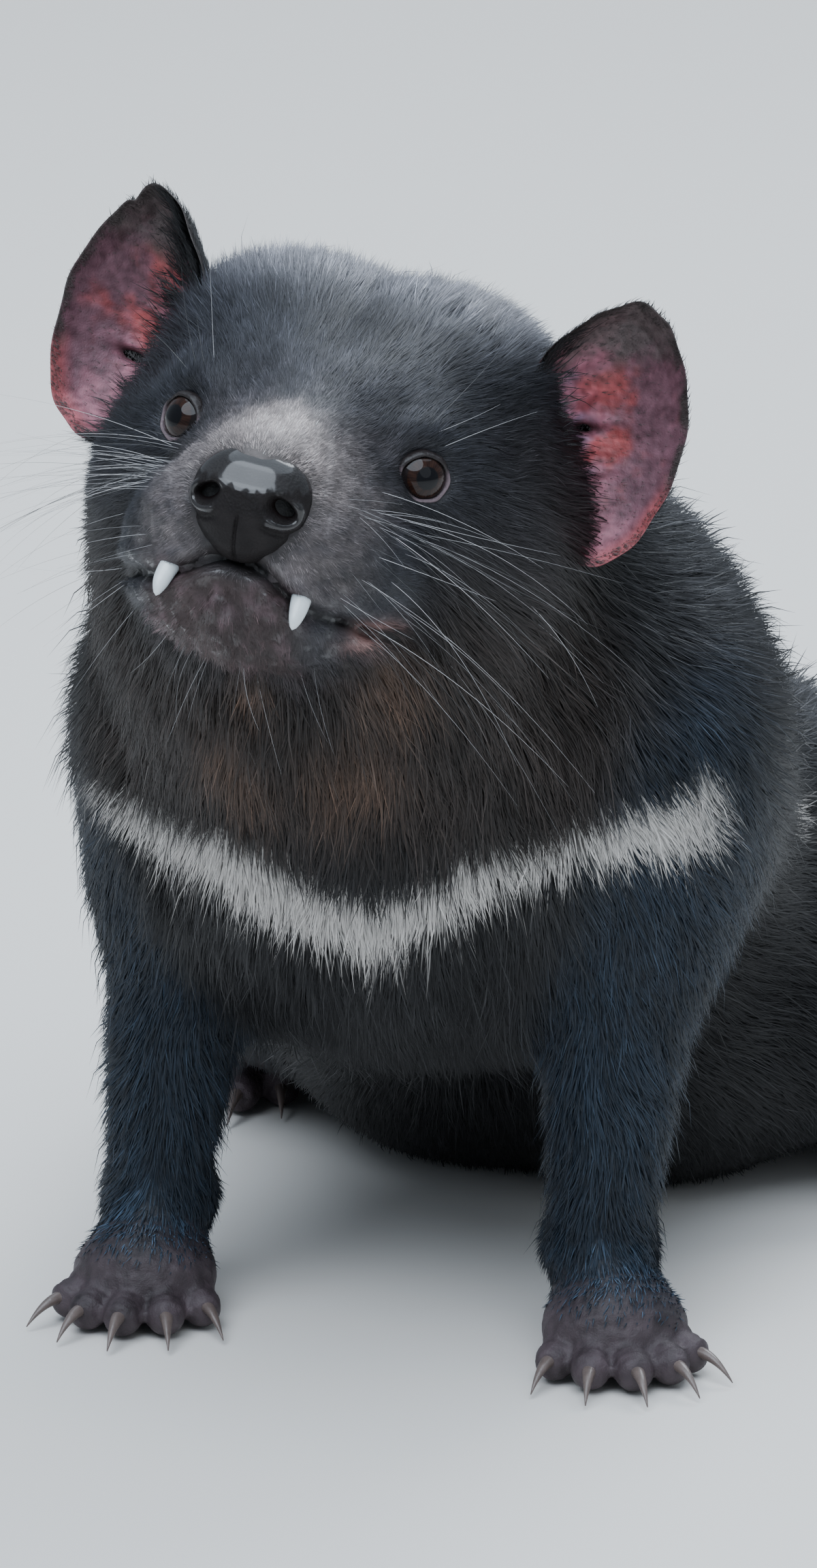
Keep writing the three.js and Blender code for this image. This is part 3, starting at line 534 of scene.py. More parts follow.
BAND_END = 97
BAND_TOP = (
    (-97, -88, -64, -39, -14, 5, 12, 26, 45, 69, 83, 91, 97),
    (160, 161, 160, 161, 156, 147, 144, 150, 159, 165, 165, 172, 170),
)
BAND_FOOT = (
    (-97, -85, -67, -46, -25, -5, 12, 18, 30, 49, 67, 80, 97),
    (159, 156, 147, 143, 137, 128, 123, 128, 137, 148, 152, 150, 152),
)


def chest_band(p):
    """The white band: between two edges given at places across the breast, ragged by waves."""
    x, z = p[..., 0], p[..., 2]
    ragged = 3.0 * waves(p * np.array([1, 1, 0.25]), 8, 11) + 1.5 * waves(p, 30, 12)
    above = np.interp(x, *BAND_TOP) - z + 0.5 * ragged
    below = z - np.interp(x, *BAND_FOOT) + ragged
    band = ramp(above, -2, 2) * ramp(below, -2.5, 2.5)
    return band * ramp(-p[..., 1], 108, 116) * ramp(BAND_END - np.abs(x), 0, 5)


# Tan patches on the throat: place and reach

TAN_PATCHES = (
    ((-21, -196, 183), (9, 12, 13)),
    ((14, -196, 186), (12, 14, 12)),
    ((-10, -212, 209), (6, 8, 5)),
    ((28, -201, 211), (11, 12, 10)),
)
LIP_PATCH = ((27, -215, 228), (7, 8, 4))
FLANK_SPOT = ((84, 9, 122), (16, 11, 9))


def markings(p, stray=0.0):
    """Root colour of the coat, how much lighter its tips are, and where it is white. The white's edge
    is looked up at the place plus stray."""
    coat = bpy.context.scene.devil_coat
    part = parts_of(p)
    h = in_head(p)
    x, y, z = h[..., 0], h[..., 1], h[..., 2]
    head = ramp(part["trunk"] - part["head"], -6, 22)
    trunk, limb = trunk_and_limb(part)
    leg = ramp(trunk - limb, -8, 8) * (1 - head)
    colour = np.zeros(p.shape) + np.array(coat.body_colour)
    throat = ramp(-p[..., 1], 120, 150) * ramp(p[..., 2], 150, 175)
    colour = blend(colour, coat.throat_colour, throat * (1 - head))
    # Legs: near-black fur tinted blue, a painted sheen of sky light.
    colour = blend(colour, coat.leg_fur_and_sheen_colour, leg * (0.15 + 0.85 * ramp(-p[..., 1], -20, 60)))
    colour = blend(colour, coat.face_colour, head)
    # Painted sheen: the top of the head is made paler, as if lit from above.
    crown_sheen = head * ramp(z, 32, 50)
    colour = blend(colour, coat.crown_sheen_colour, 0.8 * crown_sheen)
    under = head * ramp(-z, 34, 50) * ramp(y, -30, 0)
    colour = blend(colour, coat.throat_colour, under)
    muzzle = head * ramp(-y, 6, 34) * (1 - ramp(np.abs(x), 25, 38))
    mottle = 0.8 + 0.35 * waves(p, 7, 24) + 0.3 * waves(p, 3, 25)
    muzzle = muzzle * (1 - 0.8 * ramp(-z, 37, 45)) * (1 - 0.8 * ramp(z, -2, 14))
    colour = blend(colour, coat.muzzle_colour, muzzle * mottle)
    dark = head * spot(folded(h), (20, -12, 2), (9, 14, 9))
    colour = blend(colour, coat.face_colour, 0.6 * dark)
    bridge = head * bell(x, 19) * ramp(-y, 30, 48) * ramp(z, -26, -12)
    colour = blend(colour, coat.bridge_colour, 0.95 * bridge)
    inner_corner = head * spot(folded(h), (27, -24, -4), (5, 9, 5))
    colour = blend(colour, coat.face_colour, 0.8 * inner_corner)
    chin = head * ramp(-z, 37, 43) * ramp(-y, 14, 28) * (1 - ramp(np.abs(x + 3), 17, 27))
    colour = blend(colour, coat.chin_colour, 0.9 * chin)
    pale = ramp(waves(p, 8, 22) + 0.4 * waves(p, 3, 23), 0.2, 0.8)
    colour = blend(colour, coat.chin_pale_colour, 0.6 * chin * pale)
    tan = np.maximum.reduce([spot(p, *patch) for patch in TAN_PATCHES])
    colour = blend(colour, coat.tan_colour, 0.8 * tan * (0.7 + 0.3 * waves(p, 12, 21)))
    colour = blend(colour, coat.lip_colour, 0.9 * spot(p, *LIP_PATCH))
    strayed = p + stray
    white = np.maximum(chest_band(strayed), ramp(spot(strayed, *FLANK_SPOT), 0.35, 0.6))
    colour = blend(colour, coat.band_colour, white)
    shade = 1 + 0.22 * waves(p, 40, 31) + 0.20 * waves(p, 9, 32)
    # Tips lighter: the hair's own pale tips, with painted sheen added on the crown and the legs.
    tips = 1.45 + 1.5 * crown_sheen + 0.35 * leg + 0.25 * head
    tips = tips * (1 - white) + 0.98 * white
    return colour * np.where(white > 0.5, 1.0, shade)[..., None], tips, white


# Meshes


@functools.lru_cache(maxsize=None)
def shift():
    """From the animal's frame to the frame of the solids: where the left eye's solid lies, less where
    its centre is worked out to be."""
    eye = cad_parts["eye_left"].data
    points = np.zeros(len(eye.vertices) * 3)
    eye.vertices.foreach_get("co", points)
    points = np.unique(np.round(points.reshape(-1, 3) * 1000, 3), axis=0)
    found = points.mean(0) - out_of_head(eye_centre(1))
    return np.array([found[0], found[1], 0.0])


def place(p):
    """From the animal's frame, in millimetres, to the frame of the solids, in metres."""
    return (np.asarray(p, float) + shift()) / 1000


def add_mesh(name, points, faces):
    """A mesh from points in the animal's frame and faces of equal size, its object at the origin."""
    mesh = bpy.data.meshes.new(name)
    count, sides = faces.shape
    mesh.vertices.add(len(points))
    mesh.vertices.foreach_set("co", place(points).astype(np.float32).ravel())
    mesh.loops.add(count * sides)
    mesh.loops.foreach_set("vertex_index", faces.astype(np.int32).ravel())
    mesh.polygons.add(count)
    mesh.polygons.foreach_set("loop_start", np.arange(0, count * sides, sides, dtype=np.int32))
    mesh.polygons.foreach_set("use_smooth", np.full(count, True))
    mesh.update(calc_edges=True)
    piece = bpy.data.objects.new(name, mesh)
    bpy.context.scene.collection.objects.link(piece)
    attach(piece, "root")
    return piece


def paint(piece, colours):
    """A colour for each vertex, as the attribute Colour that the material reads."""
    values = np.ones((len(colours), 4), np.float32)
    values[:, :3] = colours
    attribute = piece.data.color_attributes.new("Colour", "FLOAT_COLOR", "POINT")
    attribute.data.foreach_set("color", values.ravel())


def wet(piece, values):
    """How wet each vertex is, as the attribute Wet that the material reads."""
    attribute = piece.data.attributes.new("Wet", "FLOAT", "POINT")
    attribute.data.foreach_set("value", np.asarray(values, np.float32))


def grid_faces(along, around):
    """Quads of a grid of along rows with around points each, whose rows close on themselves."""
    i, j = np.meshgrid(np.arange(along - 1), np.arange(around), indexing="ij")
    here, beside = i * around + j, i * around + (j + 1) % around
    return np.stack([here, beside, beside + around, here + around], -1).reshape(-1, 4)


NEVER_ALONG = (0.13, 0.21, 0.97)


def carried(path, radii, around, squash=1.0):
    """A round profile carried along a path: rings square to it, each of its own radius."""
    path = np.asarray(path, float)
    tangent = rows(np.gradient(path, axis=0))
    across = rows(np.cross(tangent, np.array(NEVER_ALONG)))
    up = np.cross(tangent, across)
    turn = turns(around)[None, :, None]
    ring = np.cos(turn) * across[:, None] + squash * np.sin(turn) * up[:, None]
    return path[:, None] + ring * np.asarray(radii, float)[:, None, None]


def outwards(points, faces):
    """The faces, turned over if the volume that they enclose comes out negative."""
    a, b, c = (points[faces[:, i]] for i in range(3))
    volume = np.einsum("ij,ij->", a, np.cross(b, c))
    if faces.shape[1] == 4:
        d = points[faces[:, 3]]
        volume += np.einsum("ij,ij->", a, np.cross(c, d))
    return faces if volume > 0 else faces[:, ::-1]


def shell(rings):
    """Points and triangles of one closed tube through rings of points: its quads cut in two, and a fan
    of thin triangles over each end, all pointing outwards."""
    along, around = rings.shape[:2]
    points = np.concatenate([rings.reshape(-1, 3), [rings[0].mean(0), rings[-1].mean(0)]])
    quads = grid_faces(along, around)
    here = np.arange(around)
    beside = (here + 1) % around
    middle, last = along * around, (along - 1) * around
    first_fan = np.stack([np.full(around, middle), beside, here], 1)
    last_fan = np.stack([np.full(around, middle + 1), last + here, last + beside], 1)
    faces = np.concatenate([quads[:, [0, 1, 2]], quads[:, [0, 2, 3]], first_fan, last_fan])
    return points, outwards(points, faces)


def several(pieces):
    """Points and triangles of several closed tubes as one."""
    points, triangles, count = [], [], 0
    for rings in pieces:
        p, faces = shell(rings)
        points.append(p)
        triangles.append(faces + count)
        count += len(p)
    return np.concatenate(points), np.concatenate(triangles)


# Materials


def node(tree, kind, x, y, **values):
    """A new node at a place in the editor, with some of its settings."""
    made = tree.nodes.new(kind)
    made.location = (x, y)
    for key, value in values.items():
        setattr(made, key, value)
    return made


def new_material(name):
    """A material, its node tree and its surface node, joined to the output."""
    material = bpy.data.materials.new(name)
    material.use_nodes = True
    tree = material.node_tree
    tree.nodes.clear()
    surface = node(tree, "ShaderNodeBsdfPrincipled", 300, 0)
    output = node(tree, "ShaderNodeOutputMaterial", 600, 0)
    tree.links.new(surface.outputs["BSDF"], output.inputs["Surface"])
    return material, tree, surface


def grain_group():
    """Fine relief and mottling at two scales: Height for a Bump node and Tint as a factor."""
    group = bpy.data.node_groups.get("Skin Grain")
    if group:
        return group
    group = bpy.data.node_groups.new("Skin Grain", "ShaderNodeTree")
    for name, default in (("Coarse", 400.0), ("Fine", 1500.0), ("Contrast", 0.3)):
        socket = group.interface.new_socket(name, in_out="INPUT", socket_type="NodeSocketFloat")
        socket.default_value = default
    group.interface.new_socket("Height", in_out="OUTPUT", socket_type="NodeSocketFloat")
    group.interface.new_socket("Tint", in_out="OUTPUT", socket_type="NodeSocketFloat")
    inputs = node(group, "NodeGroupInput", -800, 0)
    outputs = node(group, "NodeGroupOutput", 400, 0)
    where = node(group, "ShaderNodeTexCoord", -800, -200)
    cells = node(group, "ShaderNodeTexVoronoi", -500, 150, feature="SMOOTH_F1")
    noise = node(group, "ShaderNodeTexNoise", -500, -150)
    noise.inputs["Detail"].default_value = 4
    patches = node(group, "ShaderNodeTexNoise", -500, -400)
    patches.inputs["Detail"].default_value = 3
    link = group.links.new
    for texture, scale in ((cells, "Coarse"), (noise, "Fine"), (patches, "Coarse")):
        link(where.outputs["Object"], texture.inputs["Vector"])
        link(inputs.outputs[scale], texture.inputs["Scale"])
    mix = node(group, "ShaderNodeMath", -250, 50, operation="MULTIPLY_ADD")
    link(noise.outputs["Fac"], mix.inputs[0])
    mix.inputs[1].default_value = 0.5
    link(cells.outputs["Distance"], mix.inputs[2])
    link(mix.outputs[0], outputs.inputs["Height"])
    centred = node(group, "ShaderNodeMath", -250, -250, operation="SUBTRACT")
    link(patches.outputs["Fac"], centred.inputs[0])
    centred.inputs[1].default_value = 0.5
    scaled = node(group, "ShaderNodeMath", 0, -250, operation="MULTIPLY_ADD")
    link(centred.outputs[0], scaled.inputs[0])
    link(inputs.outputs["Contrast"], scaled.inputs[1])
    scaled.inputs[2].default_value = 1.0
    link(scaled.outputs[0], outputs.inputs["Tint"])
    return group


SOCKETS = {"specular": "Specular IOR Level"}
RELIEF_DEPTH = 0.0004


def grained(name, roughness, coarse, fine, contrast, relief, colour=None, **sockets):
    """A material with the grain group: its colour from the Colour attribute or one colour, times the
    tint, and its relief from the height. A socket given a name reads the attribute of that name."""
    material, tree, surface = new_material(name)
    grain = node(tree, "ShaderNodeGroup", -500, -100)
    grain.node_tree = grain_group()
    for key, value in (("Coarse", coarse), ("Fine", fine), ("Contrast", contrast)):
        grain.inputs[key].default_value = value
    if colour is None:
        source = node(tree, "ShaderNodeVertexColor", -500, 200, layer_name="Colour").outputs["Color"]
    else:
        source = node(tree, "ShaderNodeRGB", -500, 200).outputs[0]
        source.default_value = (*colour[:3], 1)
    tinted = node(tree, "ShaderNodeVectorMath", -100, 100, operation="SCALE")
    tree.links.new(source, tinted.inputs[0])
    tree.links.new(grain.outputs["Tint"], tinted.inputs["Scale"])
    tree.links.new(tinted.outputs[0], surface.inputs["Base Color"])
    if relief:
        bump = node(tree, "ShaderNodeBump", 0, -250)
        bump.inputs["Strength"].default_value = relief
        bump.inputs["Distance"].default_value = RELIEF_DEPTH
        tree.links.new(grain.outputs["Height"], bump.inputs["Height"])
        tree.links.new(bump.outputs["Normal"], surface.inputs["Normal"])
    surface.inputs["Roughness"].default_value = roughness
    for key, value in sockets.items():
        socket = surface.inputs[SOCKETS.get(key) or key.replace("_", " ").title()]
        if isinstance(value, str):
            source = node(tree, "ShaderNodeAttribute", -100, -400, attribute_name=value)
            tree.links.new(source.outputs["Fac"], socket)
        else:
            socket.default_value = value
    return material


def give(piece, material):
    """The piece's material, and the slot that it stands for."""
    piece.data.materials.append(material)


# Settings


def colour_property(name, description, default):
    return bpy.props.FloatVectorProperty(
        name=name, description=description, default=default, size=3, min=0, max=1, subtype="COLOR"
    )


def number_property(name, description, default, unit, **limits):
    return bpy.props.FloatProperty(
        name=name, description=description, default=default, unit=unit, **limits
    )


def length_property(name, description, default):
    return number_property(name, description, default, "LENGTH", min=0)


def power_property(name, description, default):
    return number_property(name, description, default, "POWER", min=0)


def angle_property(name, description, degrees):
    return number_property(name, description, math.radians(degrees), "ROTATION")


class CoatSettings(bpy.types.PropertyGroup):
    body_colour: colour_property("Body", "Fur of the back and flanks at its roots", (0.013, 0.013, 0.014))
    # Near-black leg fur with a painted blue sheen of sky light.
    leg_fur_and_sheen_colour: colour_property("Legs", "Fur of the legs", (0.0085, 0.0142, 0.0225))
    throat_colour: colour_property("Throat", "Fur of the throat", (0.022, 0.017, 0.015))
    face_colour: colour_property("Face", "Fur of the head", (0.022, 0.023, 0.028))
    # Painted sheen of light on the top of the head, set as a pale colour of its fur.
    crown_sheen_colour: colour_property("Crown", "Fur of the top of the head", (0.12, 0.12, 0.132))
    muzzle_colour: colour_property("Muzzle", "Short fur of the muzzle", (0.105, 0.092, 0.094))
    bridge_colour: colour_property("Bridge", "Pale fur above the nose", (0.27, 0.235, 0.225))
    chin_colour: colour_property("Chin", "Thinly haired skin of the chin", (0.040, 0.026, 0.025))
    chin_pale_colour: colour_property("Chin, pale", "Mauve patches of the chin", (0.13, 0.085, 0.095))
    tan_colour: colour_property("Tan", "Tan patches of the throat", (0.13, 0.076, 0.05))
    lip_colour: colour_property("Lip", "Bare skin at the corner of the mouth", (0.36, 0.20, 0.18))
    band_colour: colour_property("Band", "White band of the breast", (0.66, 0.63, 0.60))
    foot_colour: colour_property("Feet", "Bare skin of the feet", (0.050, 0.037, 0.042))
    head_length: length_property("Head hair", "Length of the hair on the head", 0.0072)
    body_length: length_property("Body hair", "Length of the hair on the body", 0.015)
    leg_length: length_property("Leg hair", "Length of the hair on the legs", 0.010)
    density: number_property("Density", "Share of the full number of tufts", 1, "NONE", min=0.01, max=1)


class FaceSettings(bpy.types.PropertyGroup):
    nose_colour: colour_property("Nose", "Skin of the nose pad", (0.013, 0.011, 0.011))
    iris_colour: colour_property("Iris", "Iris of the eye", (0.022, 0.010, 0.006))
    lid_colour: colour_property("Lids", "Bare rims of the eyelids", (0.016, 0.012, 0.012))
    lid_pale_colour: colour_property("Pale lid", "Pale rim at the outer corner", (0.30, 0.225, 0.25))
    ear_colour: colour_property("Ear", "Inside of the ear", (0.30, 0.115, 0.15))
    ear_red_colour: colour_property("Ear, red", "Red patches inside the ear", (0.46, 0.075, 0.065))
    ear_pale_colour: colour_property("Ear, pale", "Mauve patches inside the ear", (0.34, 0.215, 0.31))
    ear_dark_colour: colour_property("Ear, outer", "Purple-grey outer part", (0.095, 0.052, 0.066))
    ear_rim_colour: colour_property("Ear rim", "Rim and back of the ear", (0.050, 0.042, 0.040))
    tooth_colour: colour_property("Teeth", "Canine teeth", (0.70, 0.76, 0.78))
    claw_colour: colour_property("Claws", "Horn of the claws", (0.13, 0.10, 0.09))
    whisker_colour: colour_property("Whiskers", "Whiskers at their tips", (0.66, 0.65, 0.66))
    whisker_radius: length_property("Whisker radius", "Radius of a whisker at its root", 0.00008)


class StageSettings(bpy.types.PropertyGroup):
    floor_colour: colour_property("Floor", "Plain floor", (0.80, 0.775, 0.74))
    focus: length_property("Distance", "From the camera to its aim", 2.6)
    azimuth: angle_property("Azimuth", "Camera's turn round the animal", 20)
    elevation: angle_property("Elevation", "Camera's height angle", 16)
    key_power: power_property("Key light", "Power of the large light", 150)
    fill_power: power_property("Fill light", "Power of the fill light", 16)
    sky_power: power_property("Light above", "Power of the wide light above", 75)


# Skin


def of_both_sides(*parts):
    """Names of the solids of the left side, then of the right."""
    return [f"{part}_{side}" for _, side in SIDE_NAMES for part in parts]


FLESH = ["head", "lower_jaw", "neck", "torso", "tail_base", "tail_tip"]
FLESH += of_both_sides("upper_foreleg", "forearm", "thigh", "shank")
FEET = of_both_sides("forefoot", "hindfoot")


def foot_bareness(p):
    """1 on the bare feet, 0 on the haired legs."""
    fore = 1 - ramp(p[..., 2] + 0.25 * (p[..., 1] + 150), 13, 36)
    hind = 1 - ramp(p[..., 2], 12, 28)
    share = 0
    for side in SIDES:
        at = p[..., 0] * side
        share = np.maximum(share, fore * ramp(at, 20, 30) * ramp(-p[..., 1], 100, 112))
        reach = ramp(at, 84, 92) * ramp(152 - p[..., 1], 0, 10) * ramp(p[..., 1], -8, 12)
        share = np.maximum(share, hind * reach)
    return share


class SkinPiece(bpy.types.Operator):
    """Build the skin: one surface over head, body, legs, feet and tail"""

    bl_idname = "devil.skin"
    bl_label = "Skin"

    def execute(self, context):
        vertices, quads, _ = skin_net()
        piece = add_mesh("skin", vertices, quads)
        colour, _, _ = markings(vertices)
        h = in_head(vertices)
        bare = foot_bareness(vertices)[:, None]
        mottle = 1 + 0.35 * waves(vertices, 14, 41) + 0.3 * waves(vertices, 4, 42)
        foot = np.array(context.scene.devil_coat.foot_colour) * mottle[:, None]
        colour = colour * (1 - bare) + foot * bare
        # Painted shade: a dark band along the mouth line, where the lips meet.
        mouth_gap_shade = bell(h[:, 2] - mouth_line(h[:, 0]), 1.7)
        mouth_gap_shade *= ramp(-h[:, 1], -MOUTH_CORNER - 8, -MOUTH_CORNER)
        colour *= (1 - 0.85 * mouth_gap_shade)[:, None]
        # Darker round the eyes and round the nose pad; under the pad, seen through the nostrils, the skin
        # is painted near black as shade in the holes.
        eye_rim = 1 - ramp(eye_gap(h), 7.5, 12.5)
        nose_rim = 1 - ramp(nose_gap(h), 1.5, 5)
        under_nose_shade = 1 - ramp(nose_gap(h), -3, -0.5)
        shade = (1 - 0.55 * eye_rim) * (1 - 0.6 * nose_rim) * (1 - 0.97 * under_nose_shade)
        paint(piece, np.clip(colour * shade[:, None], 0, 1))
        moist = ramp(waves(vertices, 5, 43), 0.25, 0.6) * ramp(-h[:, 2], 30, 36)
        moist *= ramp(-h[:, 1], 26, 36)
        wet(piece, 0.7 * moist * (head_zone(parts_of(vertices)) > 0.5))
        skin = grained(
            "Skin", 0.55, 420, 1800, 0.5, 1.0, coat_weight="Wet", coat_roughness=0.15, specular=0.35
        )
        give(piece, skin)
        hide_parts(*FLESH, *FEET)
        return {"FINISHED"}


# Coat: closed three-sided spikes on the skin

CORNER_TURNS = (math.pi / 2, math.pi * 7 / 6, math.pi * 11 / 6)
TUFT_FLATNESS = 0.6


def spokes(side, up):
    """Three directions round a tuft's axis, drawn together along up."""
    return [math.cos(turn) * side + math.sin(turn) * TUFT_FLATNESS * up for turn in CORNER_TURNS]


def for_each_tuft(corner, count, each):
    """The triangles of one tuft, given by its own points, for all count tufts of each points."""
    return (np.arange(count)[:, None, None] * each + np.array(corner)).reshape(-1, 3)


def spikes(root, out, along, length, width, lift, sink):
    """Each tuft: a three-sided base sunk in the skin and one tip, four faces in all. The tip lies at
    the root plus length times (along cos lift + out sin lift)."""
    side = np.cross(out, along)
    way = along * np.cos(lift)[:, None] + out * np.sin(lift)[:, None]
    up = np.cross(side, way)
    base = root - out * sink[:, None]
    points = np.empty((len(root), 4, 3))
    for i, spoke in enumerate(spokes(side, up)):
        points[:, i] = base + width[:, None] * 0.5 * spoke
    points[:, 3] = root + way * length[:, None]
    corner = [[0, 1, 2], [1, 0, 3], [2, 1, 3], [0, 2, 3]]
    return points.reshape(-1, 3), for_each_tuft(corner, len(root), 4)


def bent_spikes(root, out, along, length, width, lift, sink, droop):
    """A longer tuft: a base, a middle ring raised by the lift, and a tip that droops back by droop."""
    side = np.cross(out, along)
    first = along * np.cos(lift)[:, None] + out * np.sin(lift)[:, None]
    second = along * np.cos(lift - droop)[:, None] + out * np.sin(lift - droop)[:, None]
    up = np.cross(side, first)
    middle = root + first * (0.5 * length)[:, None]
    points = np.empty((len(root), 7, 3))
    for ring, (centre, reach) in enumerate(((root - out * sink[:, None], 0.5), (middle, 0.36))):
        for i, spoke in enumerate(spokes(side, up)):
            points[:, 3 * ring + i] = centre + width[:, None] * reach * spoke
    points[:, 6] = middle + second * (0.5 * length)[:, None]
    corner = [[0, 1, 2], [4, 3, 6], [5, 4, 6], [3, 5, 6]]
    for i in range(3):
        k = (i + 1) % 3
        corner += [[k, i, 3 + k], [3 + k, i, 3 + i]]
    return points.reshape(-1, 3), for_each_tuft(corner, len(root), 7)


def lie_of_coat(p, out, part):
    """Direction of the hair: away from the nose on the head, down and back on the body, down the legs
    and along the tail and toes, weighted by how near each part is, and laid along the skin."""
    h = in_head(p)

    def near(name, reach):
        return np.exp(-np.maximum(part[name], 0) / reach)[:, None]

    from_nose = (h - np.array([0, -60, -16.0])) @ HEAD_AXES.T
    total = rows(from_nose) * near("head", 7)
    front = ramp(-p[:, 1], 60, 150)[:, None]
    on_trunk = np.array([0, 1, -0.35]) * (1 - front) + np.array([0, 0.25, -1]) * front
    total = total + rows(on_trunk) * near("trunk", 7)
    total = total + np.array([-0.05, 1, -0.15]) * near("tail", 7)
    for side in SIDES:
        for name, way, reach in (
            ("foreleg", (0.15 * side, 0.12, -1), 6),
            ("thigh", (0.2 * side, 0.1, -1), 6),
            ("forefoot", (0.1 * side, -1, -0.4), 3),
            ("hindfoot", (0, -1, -0.4), 3),
        ):
            total = total + np.array(way) * near((name, side), reach)
        from_eye = h - lid_middle(side)
        round_eye = bell(np.linalg.norm(from_eye, axis=-1), 13)
        total = total + 1.1 * rows(from_eye) @ HEAD_AXES.T * round_eye[:, None]
    flat = total - (total * out).sum(-1, keepdims=True) * out
    along = rows(flat)
    side = np.cross(out, along)
    sway = 0.30 * waves(p, 26, 51) + 0.22 * waves(p, 8, 52) + 0.16 * waves(p, 3, 53)
    return rows(along + sway[:, None] * side)


@functools.lru_cache(maxsize=None)
def skin_faces():
    """Corners, centres and areas of the quads that carry hair: each net's own half of a soft border."""
    vertices, quads, fine = skin_net()
    corners = vertices[quads]
    centre = corners.mean(1)
    across = np.cross(corners[:, 2] - corners[:, 0], corners[:, 3] - corners[:, 1])
    area = 0.5 * np.linalg.norm(across, axis=1)
    own = np.where(fine, fine_share(centre) >= 0.5, fine_share(centre) < 0.5)
    seen = own & (np.abs(skin_form(centre)) < 0.45)
    return corners[seen], centre[seen], area[seen]


def scatter(share, count, seed):
    """Roots spread over the skin: quads drawn by area times share, and a random point in each."""
    corners, _, area = skin_faces()
    draw = np.random.default_rng(seed)
    weight = area * share
    steps = np.cumsum(weight) / weight.sum()
    picked = np.searchsorted(steps, (np.arange(count) + draw.random(count)) / count)
    picked = np.minimum(picked, len(corners) - 1)
    u, v = draw.random(count)[:, None], draw.random(count)[:, None]
    a, b, c, d = (corners[picked, i] for i in range(4))
    return a * (1 - u) * (1 - v) + b * u * (1 - v) + c * u * v + d * (1 - u) * v


def eye_gap(h):
    """Distance from the nearer eye's axis, in the head's frame."""
    gap = np.full(h.shape[:-1], FAR)
    for side in SIDES:
        away = (h - lid_middle(side)) * np.array([1, 1, 1.15])
        gap = np.minimum(gap, np.linalg.norm(away, axis=-1))
    return gap


def nose_gap(h):
    """Distance from the nose pad, in the head's frame, below zero inside."""
    q = (h - np.array(NOSE_AT, float)) / np.array(NOSE_SIZE)
    q[..., 0] /= nose_width(np.clip(q[..., 2], -1, 1))
    return egg(q * np.array(NOSE_SIZE), (0, 0, 0), NOSE_SIZE)


def head_zone(part):
    """1 on the head, 0 on the neck and body."""
    return ramp(part["trunk"] - part["head"], -3, 9)


def coat_regions():
    """Shares of each coat piece over the skin's faces, that add up to the haired skin."""
    _, centre, _ = skin_faces()
    part = parts_of(centre)
    h = in_head(centre)
    head = head_zone(part)
    haired = (1 - foot_bareness(centre)) * ramp(centre[:, 2], 1.5, 5)
    haired = haired * ramp(eye_gap(h), 7.3, 8.0) * ramp(nose_gap(h), -0.6, 0.3)
    trunk, limb = trunk_and_limb(part)
    leg = (limb < trunk) & (head < 0.5)
    front = centre[:, 1] < -20
    face = (head >= 0.5) & (h[:, 1] < 16)
    skull = (head >= 0.5) & ~face
    tail = (part["tail"] < part["trunk"]) & ~leg & (head < 0.5)
    body = ~leg & ~tail & (head < 0.5)
    neck = body & (centre[:, 1] < -100)
    left = centre[:, 0] > 0
    mouth = 1 - 0.72 * ramp(-h[:, 2], 33, 42) * ramp(-h[:, 1], 12, 30)
    wide = np.abs(h[:, 2] - mouth_line(h[:, 0])) > 2.2
    mouth = mouth * np.where((h[:, 1] < MOUTH_CORNER) & ~wide, 0.05, 1)
    return {
        "coat_face_left": haired * mouth * (face & (h[:, 0] > 0)),
        "coat_face_right": haired * mouth * (face & (h[:, 0] <= 0)),
        "coat_crown": haired * skull,
        "coat_neck": haired * neck,
        "coat_body_left": haired * (body & ~neck & left),
        "coat_body_right": haired * (body & ~neck & ~left),
        "coat_forelegs": haired * (leg & front),
        "coat_hindlegs": haired * (leg & ~front),
        "coat_tail": haired * tail,
    }


# How many tufts each piece of coat has, at full density

TUFTS = {
    "coat_face_left": 45000,
    "coat_face_right": 45000,
    "coat_crown": 40000,
    "coat_neck": 49000,
    "coat_body_left": 44000,
    "coat_body_right": 44000,
    "coat_forelegs": 40000,
    "coat_hindlegs": 24000,
    "coat_tail": 20000,
}
GUARDS = 7000


def unwrap(name, p):
    """Where a root lies on the skin's unwrap: its angle about the part's axis, and its place along."""
    h = in_head(p)
    if name.startswith("coat_face") or name == "coat_crown":
        u = np.arctan2(h[:, 0], h[:, 2] + 14) / (2 * math.pi) + 0.5
        v = (h[:, 1] + 70) / 180
    elif name.endswith("legs"):
        left = p[:, 0] > 0
        x, y = (68, -122) if name == "coat_forelegs" else (95, 70)
        u = np.arctan2(np.abs(p[:, 0]) - x, p[:, 1] - y) / (4 * math.pi) + 0.25 + 0.5 * left
        v = p[:, 2] / 210
    else:
        u = np.arctan2(p[:, 0], p[:, 2] - 90) / (2 * math.pi) + 0.5
        v = (p[:, 1] + 240) / 660
    return np.stack([0.01 + 0.97 * np.clip(u, 0, 1), 0.01 + 0.97 * np.clip(v, 0, 1)], -1)


# Side of a tuft's patch on the unwrap, and its points there: base, middle ring and tip

PATCH = 0.003
PATCH_POINTS = ((0, 0), (1, 0), (0.5, 0.4), (0, 0.5), (1, 0.5), (0.5, 0.7), (0.5, 1))


def bake_map(piece, uv, corners):
    """A UV map OFBake with one small patch for each tuft at its root's place."""
    offset = np.array(PATCH_POINTS)
    offset = offset[[0, 1, 2, 6]] if corners == 4 else offset
    spread = (uv[:, None] + PATCH * offset[None]).reshape(-1, 2)
    index = np.empty(len(piece.data.loops), np.int32)
    piece.data.loops.foreach_get("vertex_index", index)
    layer = piece.data.uv_layers.new(name="OFBake")
    layer.data.foreach_set("uv", spread[index].astype(np.float32).ravel())


